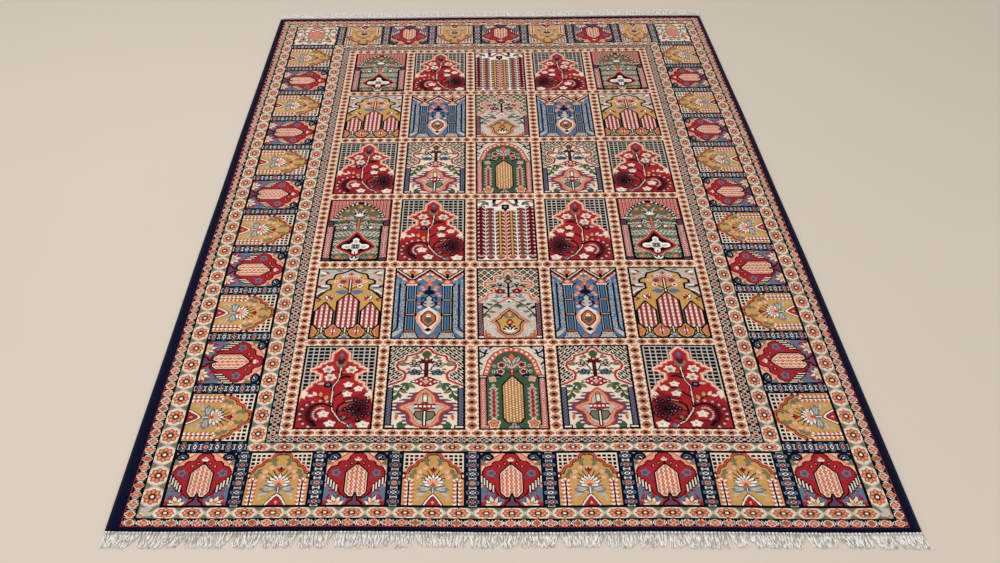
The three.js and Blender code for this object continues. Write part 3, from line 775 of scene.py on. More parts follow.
# Border cell: ochre arch over a lotus spray, with a netted ground in its upper corners. A quiet one has
# darker leaves
def lotusCell(c, quiet=False):
    petal, edge, heart, wing = ("stone", "ochre", "navy",
                                "gold") if quiet else ("white", "ink", "salmon", "slate")
    grid(c, np.ones(c.x.shape, bool), 7.8, 7.4, 2.4, "cream")
    arch = [(0, 98), (9, 97), (13, 92), (14, 86), (21, 85), (26, 81), (28, 75), (35, 73), (39, 68),
            (41, 62), (47, 60), (52, 56), (52, -3)]
    nest(c, arch, [(3.4, "salmon"), (1.6, "crimson"), (-0.6, "coral"), (-2.2, "ink"), (-3.9, "ochre")])
    nest(c, [(46, 60), (52, 58), (52, 48), (44, 51)], [(1.6, "ink"), (0, "crimson")], half=False)
    oval(c, 46.5, 55, 1.7, 2.2, "white")
    for x, y, angle in ((5, 86, 340), (12, 82, 255), (33, 66, 205), (36, 60, 250), (28, 68, 290)):
        leaf(c, x, y, 13, 8, angle, "olive")
    for x in (32.6, 42.4):
        for y in range(1, 46, 7):
            lozenge(c, x, y, 4.4, 4.0, "coral")
            lozenge(c, x + (1.4 if x < 37 else -1.4), y + 3.4, 4.0, 3.2, "white")
    line(c, [(37.5, 0), (37.5, 46)], 2.2, "ink")
    bloom(c, 37.5, 49, 5.6, 4, (None, "coral", "white"), 0.78)
    block(c, 0, 14, 27, 34, wing)
    for y, angle, length in ((30, 0, 18), (31, 25, 15), (29, -22, 14)):
        leaf(c, 8, y, length, 8, angle, wing)
    leafFan(c, 4, 31, [(18, 3, 12), (16, 3, -14)], "stone")
    leafFan(c, 12, 30, [(10, 3, 2)], "ochre")
    leafFan(c, 12, 24, [(15, 5, -20)], "stone")
    for angle, reach in ((90, 24), (62, 27), (38, 27), (15, 24)):
        a = np.radians(angle)
        line(c, [(0, 46), ((reach - 2) * np.cos(a), 46 + (reach - 2) * np.sin(a))], 1.7, "ink")
        bloom(c, reach * np.cos(a), 46 + reach * np.sin(a), 5.8, 5,
              ("ochre", "salmon", "cream", "crimson"), 0.3)
    leafFan(c, 0, 62, [(11, 3.6, 90), (9, 3, 48)], "ink")
    leafFan(c, 0, 60, [(10, 4, 66)], "crimson")
    for angle, length in ((90, 20), (66, 19), (44, 19), (20, 19), (-4, 15)):
        leaf(c, 0, 39, length, 5.2, angle, petal, edge)
    leafFan(c, 0, 39, [(12, 5, 90), (11, 4, 55), (11, 4, 32), (10, 4, 8)], heart)
    bloom(c, 0, 39, 5, 4, (None, "coral", "crimson"))
    edgedLine(c, [(0, 24), (0, 33)], 1.6, "white", "ink")
    nest(c, [(0, 20), (5, 15), (12, 4), (14, 0), (0, 0)], [(3.2, "ink"), (1.8, "white"), (-0.8, "ink"),
                                                           (-1.6, "crimson")])
    lozenge(c, 0, 7, 2.6, 3.4, "salmon")
    bloom(c, 23, 13, 4.4, 4, (None, "stone", "ochre"))


# Corner cell at the far end: a coral octagon in a scalloped ring among small flowers and leaves
def octagonCell(c):
    rng = np.random.default_rng(11)
    names = ["olive", "crimson", "slate", "coral", "green", "gold"] * 12
    for x, y, turn, name in zip(rng.uniform(0, 50, 72), rng.uniform(3, 97, 72), rng.uniform(0, 360, 72),
                                names):
        leaf(c, x, y, 13, 4.4, turn, name)
    for x, y, name in ((34, 82, "crimson"), (12, 88, "slate"), (42, 60, "coral"), (40, 30, "slate"),
                       (30, 14, "crimson"), (8, 10, "coral")):
        bloom(c, x, y, 8.4, 5, ("cream", name, "ochre", "ink"), x, 0.9)
    bloom(c, 0, 49, 35, 8, ("olive", "white"), 0.4, 1.0)
    nest(c, [(0, 73), (18, 62), (18, 36), (0, 25)], [(3.4, "stone"), (1.8, "crimson"), (0.2, "coral")])
    paint(c, hasYarn(c, "coral") & inBlock(c, 0, 19, 25, 73) & (c.x % 2.3 < 1.1), "salmon")


# Where the weaver's main lines run, in millimetres, at the knots where each band or panel starts. The
# columns are given at a near row and a far row of panels, because the field draws in a little towards
# the near end
weaver = {"column": (0, 9, 25, 49, 139, 163, 177, 191, 301, 318, 428, 445, 555, 572, 682, 699, 809, 823,
                     837, 861, 951, 975, 991, 1000),
          "nearX": (-990.7, -966, -936, -883, -697, -650, -618, -583, -366, -336, -110, -73, 122, 156,
                    368, 403, 622, 657, 687, 731, 903, 948, 974, 990.7),
          "farX": (-990.7, -976, -949, -907, -713, -665, -638, -603, -374, -339,
                   -110, -73, 147, 182, 406, 442, 663, 694, 723, 761, 918, 958, 982, 990.7),
          "row": (0, 11, 24, 43, 136, 153, 165, 179, 356, 372, 549, 565, 742, 758, 935, 951, 1128, 1144,
                  1321, 1335, 1347, 1364, 1457, 1476, 1489, 1500),
          "y": (-1500, -1490, -1467, -1431, -1248, -1217, -1195, -1170, -835, -806, -461, -423, -60, -24,
                335, 371, 720, 752, 1114, 1146, 1176, 1206, 1405, 1435, 1464, 1500),
          "nearY": -1010.0, "farY": 933.0, "wander": 1.0}


# Stripe of one repeated motif. Each repeat gets a whole number of knots, and all are about as long on
# the rug
def stripe(start, length, depth, count, drawRepeat, lines=("column", "nearX")):
    knots, places = weaver[lines[0]], weaver[lines[1]]
    ends = np.interp([start, start + length], knots, places)
    edges = np.interp(np.linspace(*ends, count + 1), places, knots).round().astype(int)
    return np.concatenate([drawRepeat(b - a, depth, k) for k, (a, b) in enumerate(zip(edges, edges[1:]))],
                          axis=1)


# Rosette with eight petals and a dark ring in a cream halo, and an hourglass of two ground tones
# between two of them
def rosetteRepeat(width, depth, k):
    c = newCanvas(width, depth, 100, "stone")
    x, y = c.x, c.y - 50
    paint(c, (abs(y) > 12 + 2.2 * (50 - x)) & (x > 26), "olive")
    paint(c, (x / 43) ** 2 + (y / 54) ** 2 < 1, "cream")
    angle, away = np.arctan2(y / 47, x / 37), np.hypot(x / 37, y / 47)
    petals = away < 0.93 + 0.08 * np.cos(8 * angle)
    paint(c, petals, "gold")
    paint(c, petals & (away < 0.88) & (np.cos(8 * angle) > -0.7), "coral")
    paint(c, petals & (away > 0.52) & (away < 0.78) & (np.cos(8 * angle) > 0), "salmon")
    paint(c, away < 0.46, "gold")
    paint(c, away < 0.36, "ink")
    paint(c, away < 0.19, "white")
    return c.knots


# Corner square of a rosette stripe: a coral bud that points outwards
def rosetteCorner(width, depth):
    c = newCanvas(width, depth, 100, "stone", folded=False)
    paint(c, (c.y < 16) | (c.x < -38), "olive")
    paint(c, (c.x > c.y - 40) & (c.y > 60), "olive")
    lozenge(c, -24, 26, 30, 24, "cream")
    lozenge(c, -24, 26, 20, 15, "coral")
    return c.knots


# Guard stripe: coral flowers in pale rings on a dark ground, with a pale cross between two of them
def guardRepeat(width, depth, k):
    c = newCanvas(width, depth, 100, "ink")
    x, y = c.x, abs(c.y - 50)
    paint(c, (abs((50 - x) * 2.4 - y) < 7) & (x > 34) & (y < 42), "white" if k % 2 else "stone")
    ring = np.maximum(x / 37, x / 54 + y / 60)
    paint(c, (ring < 1.0) & (ring > 0.80), "cream")
    paint(c, np.hypot(x / 29, y / 36) < 1, "coral")
    paint(c, (abs(x - 0.7 * y) < 6) & (np.hypot(x / 24, y / 28) < 1), "salmon" if k % 3 else "gold")
    return c.knots


# Inner guard stripe: a slate and white net on near black, with a small coral flower in it
def netRepeat(width, depth, k):
    c = newCanvas(width, depth, 100, "ink")
    x, y = c.x, abs(c.y - 50)
    paint(c, (x / 50 + y / 40 > 1.1) & (y > 34), "navy")
    paint(c, abs(x * 1.1 - y) < 8, "stone")
    paint(c, abs((50 - x) * 1.6 - y) < 9, "stone")
    paint(c, np.hypot(x / 21, y / 26) < 1, "coral" if k % 2 else "salmon")
    paint(c, np.hypot(x / 9, y / 11) < 1, "cream" if k % 2 else "crimson")
    return c.knots


# Garden channel between panels: one russet flower a repeat, with a pale ring and a dark heart
def channelRepeat(width, depth, k):
    c = newCanvas(width, depth, 100, "cream")
    x, y = c.x, abs(c.y - 50)
    paint(c, (y > 38) & (x > 38), "salmon")
    paint(c, (y > 44) & (x < 12), "coral")
    paint(c, (x / 47) ** 1.3 + (y / 40) ** 1.5 < 1, "gold")
    paint(c, (x / 38) ** 1.4 + (y / 30) ** 1.6 < 1, "salmon" if k % 2 else "coral")
    paint(c, (x / 27) ** 1.7 + (y / 25) ** 1.8 < 1, "gold")
    paint(c, (x / 15) ** 2 + (y / 15) ** 2 < 1, "ink")
    return c.knots


# Bar between border cells: a small flower in a slate ring on navy, then a white bone
def barRepeat(width, depth, k):
    c = newCanvas(width, depth, 100, "navy")
    x, y = c.x, abs(c.y - 50)
    paint(c, (y > 36) & (y < 44) & (x < 16), "slate")
    ring = np.hypot(x / 33, y / 38)
    paint(c, (ring < 1.0) & (ring > 0.82), "slate")
    paint(c, (x > 45) & (y < 26), "stone")
    paint(c, (abs(x - 50) + 7 > y - 10) & (x > 38) & (y > 18) & (y < 29), "white")
    paint(c, ring < 0.60, "white" if k % 2 else "salmon")
    paint(c, (ring < 0.60) & (abs(x / 29 - y / 34) < 0.12), "navy")
    paint(c, ring < 0.28, "crimson")
    return c.knots


# The order of the field's panels, from the far end, and of the border's cells
panelRows = ["ABCBA", "DEFED", "BGHGB", "ABCBA", "DEFED", "BGHGB"]
# What draws each of them, and its ground
panelMakers = {"A": (archPanel, "crimson"), "B": (treePanel, "ink", False), "C": (willowPanel, "white"),
               "D": (cypressPanel, "stone"), "E": (pillarPanel, "sky"), "F": (gardenPanel, "olive"),
               "G": (frettedPanel, "ink"), "H": (goldenPanel, "stone")}
cellMakers = {"P": (cartoucheCell, "salmon"), "Q": (lotusCell, "ink"), "R": (octagonCell, "cream"),
              "S": (lambda c: lotusCell(c, quiet=True), "ink")}


# One finished panel or cell: its ground, its motifs and a dark line of some knots round it
def makePanel(width, height, tall, edge, drawMotifs, ground, folded=True):
    c = newCanvas(width, height, tall, ground, folded)
    drawMotifs(c)
    for side in (c.knots[:edge], c.knots[-edge:], c.knots[:, :edge], c.knots[:, -edge:]):
        side[:] = yarn["ink"]
    return c.knots


# Widths of the bands in knots, from the edge to the field, along the sides and along the ends
knotChart = {
    "across": 1000, "along": 1500,
    "sideBands": [8, 1, 14, 2, 22, 2, 89, 2, 22, 2, 12, 1, 14],
    "endBands": [9, 2, 12, 2, 17, 2, 91, 2, 15, 2, 10, 1, 14],
    "channelAcross": 17, "channelAlong": 16,
    "bar": 18,
}
bandNames = ["edge", "redLine", "guard", "line", "rosettes", "line", "cells", "line", "rosettes", "line",
             "net", "line", "channel"]


# Cells and bars that fill one side of the border, tips up, from left to right, about evenly on the rug
def cellRow(start, length, depth, letters, endBars, lines, shares=None):
    knots, places = weaver[lines[0]], weaver[lines[1]]
    low, high = np.interp([start, start + length], knots, places)
    barLong = abs(high - low) / length * knotChart["bar"]
    bars = len(letters) + (1 if endBars else -1)
    cellLong = (high - low - bars * barLong) / len(letters)
    shares = np.array(shares or [1] * len(letters))
    steps = [step for share in shares / shares.mean() for step in (barLong, cellLong * share)] + [barLong]
    edges = low + np.cumsum([0] + (steps if endBars else steps[1:-1]))
    edges = np.interp(edges, places, knots).round().astype(int)
    edges[-1] = start + length
    parts = []
    for k, (a, b) in enumerate(zip(edges, edges[1:])):
        isCell = k % 2 == (1 if endBars else 0)
        if isCell:
            parts.append(makePanel(b - a, depth, 100, 2, *cellMakers[letters[k // 2]]))
        else:
            parts.append(barColumn(b - a, depth))
    return np.concatenate(parts, axis=1)


# A bar is six flowers one above the other
def barColumn(width, depth):
    edges = np.round(np.linspace(0, depth, 7)).astype(int)
    return np.concatenate([barRepeat(b - a, width, k) for k, (a, b) in enumerate(zip(edges, edges[1:]))],
                          axis=1).T


# How often each motif comes along the near end, the far end and a long side, from the outer band to the
# inner one
repeats = {"guard": (57, 62, 96), "rosettes": (27, 27, 41), "rosettes2": (22, 22, 35),
           "net": (43, 43, 76), "channel": (39, 39, 79)}

# The columns that an end's bands follow, by whether it is the far end
endColumns = {False: ("column", "nearX"), True: ("column", "farX")}

# How wide the cells of the far row are, from left to right, as shares of their mean
farShares = [1.15, 1.02, 1.02, 1.02, 1.02, 1.02, 1.02, 0.80, 0.86]


# The whole chart, row 0 at the near end. A ring of each band is laid inside the one before
def drawChart():
    wideAll, tallAll = knotChart["across"], knotChart["along"]
    knots = np.full((tallAll, wideAll), yarn["navy"], np.uint8)
    makers = {"rosettes": rosetteRepeat, "guard": guardRepeat, "net": netRepeat, "channel": channelRepeat}
    side, end, seen = 0, 0, []
    for name, sideWidth, endWidth in zip(bandNames, knotChart["sideBands"], knotChart["endBands"]):
        wide, tall = wideAll - 2 * side, tallAll - 2 * end
        ring = knots[end:tallAll - end, side:wideAll - side]
        inner, low = tall - 2 * endWidth, end + endWidth
        if name in ("edge", "redLine", "line"):
            ring[:] = yarn[{"edge": "navy", "redLine": "crimson", "line": "ink"}[name]]
        elif name == "cells":
            flank = cellRow(low, inner, sideWidth, "QPQPQPQPQPQ", True, ("row", "y"))
            ring[endWidth:-endWidth, :sideWidth] = flank.T
            ring[endWidth:-endWidth, -sideWidth:] = flank.T[:, ::-1]
            ring[:endWidth] = cellRow(side, wide, endWidth, "PQPQPQPQP", False, endColumns[False])
            ring[-endWidth:] = cellRow(side, wide, endWidth, "RSPSPSPSR", False, endColumns[True],
                                       farShares)[::-1]
        else:
            near, far, flanks = repeats[name + "2" * (name in seen)]
            flank = stripe(low, inner, sideWidth, flanks, makers[name], ("row", "y")).T
            ring[endWidth:-endWidth, :sideWidth] = flank
            ring[endWidth:-endWidth, -sideWidth:] = flank[:, ::-1]
            corner = 15 if name == "rosettes" and name not in seen else 0
            for count, isFar in ((near, False), (far, True)):
                level = stripe(side + corner, wide - 2 * corner, endWidth, count, makers[name],
                               endColumns[isFar])
                if corner:
                    square = rosetteCorner(corner, endWidth)
                    level = np.concatenate([square, level, square[:, ::-1]], axis=1)
                if isFar:
                    ring[-endWidth:] = level[::-1]
                else:
                    ring[:endWidth] = level
            seen.append(name)
        side, end = side + sideWidth, end + endWidth
    field = knots[end:tallAll - end, side:wideAll - side]
    tall, wide = field.shape
    gapX, gapY = knotChart["channelAcross"], knotChart["channelAlong"]
    columns, rows = len(panelRows[0]), len(panelRows)
    panelWide, panelTall = (wide - gapX * (columns - 1)) // columns, (tall - gapY * (rows - 1)) // rows
    made = {letter: makePanel(panelWide, panelTall, 160, 3, *maker) for letter, maker in panelMakers.items()}
    upright = stripe(end, tall, gapX, 77, channelRepeat, ("row", "y")).T
    for j in range(rows):
        y = j * (panelTall + gapY)
        if j:
            field[y - gapY:y] = stripe(side, wide, gapY, 37, channelRepeat, endColumns[j > 2])
        for i, letter in enumerate(panelRows[rows - 1 - j]):
            x = i * (panelWide + gapX)
            if i:
                field[y:y + panelTall, x - gapX:x] = upright[y:y + panelTall]
            panel = made[letter][:, ::-1] if 2 * i >= columns else made[letter]
            field[y:y + panelTall, x:x + panelWide] = panel
    return knots


chart = drawChart()
print("knot chart drawn", chart.shape)


# Linear colour with an alpha of 1, from sRGB
def linear(colour):
    c = np.array(colour)
    return (*np.where(c <= 0.04045, c / 12.92, ((c + 0.055) / 1.055) ** 2.4), 1.0)


# A mesh piece from points in millimetres. UV maps have one pair a face corner, face values one row a face
def makePiece(name, points, quads, ngons=(), uvMaps=None, faceValues=None, material=None):
    loops = np.concatenate([quads.ravel(), *ngons]).astype(np.int32)
    sizes = np.concatenate([np.full(len(quads), 4), [len(n) for n in ngons]]).astype(np.int64)
    mesh = bpy.data.meshes.new(name)
    mesh.vertices.add(len(points))
    mesh.vertices.foreach_set("co", (points * 0.001 + shift).astype(np.float32).ravel())
    mesh.loops.add(len(loops))
    mesh.loops.foreach_set("vertex_index", loops)
    mesh.polygons.add(len(sizes))
    mesh.polygons.foreach_set("loop_start", (np.cumsum(sizes) - sizes).astype(np.int32))
    mesh.update(calc_edges=True)
    for key, corners in (uvMaps or {}).items():
        layer = mesh.uv_layers.new(name=key)
        layer.data.foreach_set("uv", corners.astype(np.float32).ravel())
    if faceValues is not None:
        attribute = mesh.attributes.new("knots", "FLOAT_VECTOR", "FACE")
        attribute.data.foreach_set("vector", faceValues.astype(np.float32).ravel())
    mesh.polygons.foreach_set("use_smooth", np.ones(len(sizes), bool))
    mesh.materials.append(material)
    mesh.update()
    piece = bpy.data.objects.new(name, mesh)
    bpy.context.scene.collection.objects.link(piece)
    return piece


# Tubes through many paths at once: paths are (tubes, rings, 3), radii (tubes, rings), with flat closed
# ends
def tubeMesh(paths, radii, sides, flatten=1.0):
    tubes, rings = radii.shape
    ahead = np.gradient(paths, axis=1)
    ahead /= np.linalg.norm(ahead, axis=2, keepdims=True)
    across = np.cross(ahead, (0, 0, 1.0))
    across /= np.linalg.norm(across, axis=2, keepdims=True)
    up = np.cross(across, ahead)
    turns = np.arange(sides) / sides * 2 * np.pi
    offset = across[:, :, None] * np.cos(turns)[:, None] + flatten * up[:, :, None] * np.sin(turns)[:, None]
    points = (paths[:, :, None] + radii[:, :, None, None] * offset).reshape(-1, 3)
    t, r, s = np.meshgrid(np.arange(tubes), np.arange(rings - 1), np.arange(sides), indexing="ij")
    first, row = (t * rings + r) * sides, (s + 1) % sides
    quads = np.stack([first + s, first + sides + s, first + sides + row, first + row],
                     axis=-1).reshape(-1, 4)
    starts = np.arange(tubes)[:, None] * rings * sides
    ends = [*(starts + np.arange(sides)), *(starts + (rings - 1) * sides + np.arange(sides)[::-1])]
    lengths = np.cumsum(np.linalg.norm(np.diff(paths, axis=1, prepend=paths[:, :1]), axis=2), axis=1)
    v0, v1 = lengths[t, r], lengths[t, r + 1]
    corners = np.stack([np.stack(pair, -1) for pair in ((s, v0), (s, v1), (s + 1, v1), (s + 1, v0))], -2)
    corners = corners.reshape(-1, 2) / (sides, 1.0)
    caps = np.zeros((2 * tubes * sides, 2))
    return points, quads, ends, np.concatenate([corners, caps])


# A shader node with its settings. Its inputs are linked where they are given a socket, and else set
def node(tree, kind, inputs=None, **settings):
    made = tree.nodes.new("ShaderNode" + kind)
    for key, value in settings.items():
        setattr(made, key, value)
    for key, value in (inputs or {}).items():
        if isinstance(value, bpy.types.NodeSocket):
            tree.links.new(value, made.inputs[key])
        else:
            made.inputs[key].default_value = value
    return made


def maths(tree, operation, a, b=0.0, c=0.0):
    return node(tree, "Math", {0: a, 1: b, 2: c}, operation=operation).outputs[0]


def mixed(tree, share, a, b):
    return node(tree, "Mix", {0: share, 6: a, 7: b}, data_type="RGBA").outputs[2]


def noise(tree, place, scale, detail=2.0, stretch=None):
    if stretch:
        place = node(tree, "Mapping", {0: place, 3: stretch}).outputs[0]
    return node(tree, "TexNoise", {"Vector": place, "Scale": scale, "Detail": detail}).outputs[0]


# A material of one principled shader, with its finish by the names of the shader's inputs
def newMaterial(name, **finish):
    material = bpy.data.materials.new(name)
    material.use_nodes = True
    tree = material.node_tree
    tree.nodes.clear()
    shader = node(tree, "BsdfPrincipled", finish)
    output = node(tree, "OutputMaterial")
    tree.links.new(shader.outputs[0], output.inputs[0])
    return material, tree, shader


# Reads the knot under each point. Every face holds 4 x 4 knots as hexadecimal digits: six in x, six in
# y and four in z of the face's value, row by row. The face's own UV map runs from 0 to 4 over them
def makeKnotGroup():
    group = bpy.data.node_groups.new("knotYarn", "ShaderNodeTree")
    for name, kind in (("Colour", "NodeSocketColor"), ("Dome", "NodeSocketFloat"),
                       ("Own", "NodeSocketFloat")):
        group.interface.new_socket(name, in_out="OUTPUT", socket_type=kind)
    place = node(group, "SeparateXYZ", {0: node(group, "UVMap", uv_map="knotPlace").outputs[0]})
    packed = node(group, "Attribute", attribute_name="knots").outputs["Vector"]
    digits = node(group, "SeparateXYZ", {0: packed})
    u = node(group, "Clamp", {0: place.outputs[0], 1: 0.001, 2: 3.999}).outputs[0]
    v = node(group, "Clamp", {0: place.outputs[1], 1: 0.001, 2: 3.999}).outputs[0]
    knot = maths(group, "MULTIPLY_ADD", maths(group, "FLOOR", v), 4.0, maths(group, "FLOOR", u))
    second, third = maths(group, "GREATER_THAN", knot, 5.5), maths(group, "GREATER_THAN", knot, 11.5)
    digitPlace = maths(group, "MULTIPLY_ADD", maths(group, "ADD", second, third), -6.0, knot)
    value = maths(group, "MULTIPLY", digits.outputs[0], maths(group, "SUBTRACT", 1.0, second))
    value = maths(group, "MULTIPLY_ADD", digits.outputs[1], maths(group, "SUBTRACT", second, third), value)
    value = maths(group, "MULTIPLY_ADD", digits.outputs[2], third, value)
    divisor = maths(group, "ROUND", maths(group, "POWER", 16.0, digitPlace))
    index = maths(group, "FLOORED_MODULO", maths(group, "FLOOR", maths(group, "DIVIDE", value, divisor)),
                  16.0)
    ramp = node(group, "ValToRGB", {0: maths(group, "MULTIPLY_ADD", index, 1 / 16, 1 / 32)})
    ramp.color_ramp.interpolation = "CONSTANT"
    for i, colour in enumerate(yarnColours.values()):
        stop = ramp.color_ramp.elements[0] if i == 0 else ramp.color_ramp.elements.new(i / 16)
        stop.position, stop.color = i / 16, linear(colour)
    ramp.color_ramp.elements.remove(ramp.color_ramp.elements[-1])
    crossU, crossV = (maths(group, "PINGPONG", s, 0.5) for s in (u, v))
    dome = maths(group, "MINIMUM", maths(group, "MINIMUM", crossU, crossV), 0.32)
    cells = node(group, "VectorMath", {0: node(group, "TexCoord").outputs["Object"], "Scale": 500.0},
                 operation="SCALE")
    cells = node(group, "VectorMath", {0: cells.outputs[0]}, operation="FLOOR").outputs[0]
    own = node(group, "TexWhiteNoise", {"Vector": cells}, noise_dimensions="3D").outputs["Value"]
    out = group.nodes.new("NodeGroupOutput")
    for name, socket in (("Colour", ramp.outputs[0]), ("Dome", dome), ("Own", own)):
        group.links.new(socket, out.inputs[name])
    return group


knotYarn = makeKnotGroup()

# How unevenly the wool took its dye: by single knots, in patches, and in bands across the rug
dye = {"knots": 0.22, "patches": 0.14, "bands": 0.12}

# The pile's brightness, and how much its fibres, domes and lay raise it. The back has its brightness
# and weft colour
wool = {"gain": 0.89, "fibres": 0.5, "domes": 1.6, "lay": 1.2, "backGain": 0.92,
        "weft": (0.62, 0.60, 0.56), "weftShare": 0.45}


# Colour of the knots, made lighter and darker by the dye's noise
def dyedKnots(tree, gain):
    knots = node(tree, "Group", node_tree=knotYarn)
    place = node(tree, "TexCoord").outputs["Object"]
    patches = noise(tree, place, 9.0, 3.0)
    bands = noise(tree, place, 7.0, 2.0, stretch=(0.12, 1.6, 1.0))
    value = maths(tree, "MULTIPLY_ADD", knots.outputs["Own"], dye["knots"], gain - dye["knots"] / 2)
    value = maths(tree, "MULTIPLY_ADD", maths(tree, "SUBTRACT", patches, 0.5), dye["patches"] * 2, value)
    value = maths(tree, "MULTIPLY_ADD", maths(tree, "SUBTRACT", bands, 0.5), dye["bands"] * 2, value)
    tinted = node(tree, "HueSaturation", {"Value": value, "Color": knots.outputs["Colour"]}).outputs[0]
    return knots, place, tinted


# Links a yarn's colour, and the bump of its height at a distance in metres
def dress(tree, shader, colour, height, strength, distance):
    bump = node(tree, "Bump", {"Height": height, "Strength": strength, "Distance": distance})
    tree.links.new(colour, shader.inputs["Base Color"])
    tree.links.new(bump.outputs[0], shader.inputs["Normal"])


# Clipped wool: a matt pile with a soft sheen, one low dome a knot and fine fibre noise between them
def pileMaterial():
    material, tree, shader = newMaterial("wool_pile", **{
        "Roughness": 0.9, "Sheen Weight": 0.02, "Sheen Roughness": 0.5, "Specular IOR Level": 0.04})
    knots, place, tinted = dyedKnots(tree, wool["gain"])
    fibres = noise(tree, place, 900.0, 2.0)
    lay = noise(tree, place, 60.0, 3.0, stretch=(1.0, 0.35, 1.0))
    height = maths(tree, "MULTIPLY", knots.outputs["Dome"], wool["domes"])
    height = maths(tree, "MULTIPLY_ADD", fibres, wool["fibres"], height)
    height = maths(tree, "MULTIPLY_ADD", lay, wool["lay"], height)
    dress(tree, shader, tinted, height, 0.35, 0.0012)
    return material


# Back of the knots: paler and harder, with a low bump over each knot and grey wefts between the knots
def backMaterial():
    material, tree, shader = newMaterial("woven_back", **{"Roughness": 0.92, "Specular IOR Level": 0.15})
    knots, _, tinted = dyedKnots(tree, wool["backGain"])
    weft = maths(tree, "LESS_THAN", knots.outputs["Dome"], 0.1)
    shown = mixed(tree, maths(tree, "MULTIPLY", weft, wool["weftShare"]), tinted, linear(wool["weft"]))
    dress(tree, shader, shown, knots.outputs["Dome"], 0.8, 0.0008)
    return material


# Height of the pile: worn down towards the rim, and inside it uneven by a broad wave times another,
# plus a finer one
def pileHeight(inset, x, y):
    height = np.interp(inset, rim["inset"], rim["height"])
    broad = np.sin(x / 61 + 1.3 * np.sin(y / 143)) * np.sin(y / 83 + 0.8)
    return height + np.where(inset > rim["evenTo"], 0.22 * broad + 0.14 * np.sin(x / 27 - y / 39), 0)


# Where a knot lies: between the weaver's lines of its row, its column mixed from the near and far lines
# by the way along, plus a slow sine wave along each axis that fades out at the edges
def weaverPlace(column, row):
    y = np.interp(row, weaver["row"], weaver["y"])
    share = (y - weaver["nearY"]) / (weaver["farY"] - weaver["nearY"])
    nearX, farX = (np.interp(column, weaver["column"], weaver[key]) for key in ("nearX", "farX"))
    x = (1 - share) * nearX + share * farX
    keepU, keepV = 1 - (column / 500 - 1) ** 6, 1 - (row / 750 - 1) ** 6
    x += weaver["wander"] * keepU * np.sin(0.0067 * row + 0.0023 * column)
    y += weaver["wander"] * keepV * np.sin(0.0131 * column - 0.0021 * row)
    return x, y


# Heights in the bake map: the chart fills all up to the first, and the wall and the plain side have
# strips above it
bakeStrips = {"chart": 0.985, "wall": (0.988, 0.993), "plain": 0.996, "plainTall": 0.003}


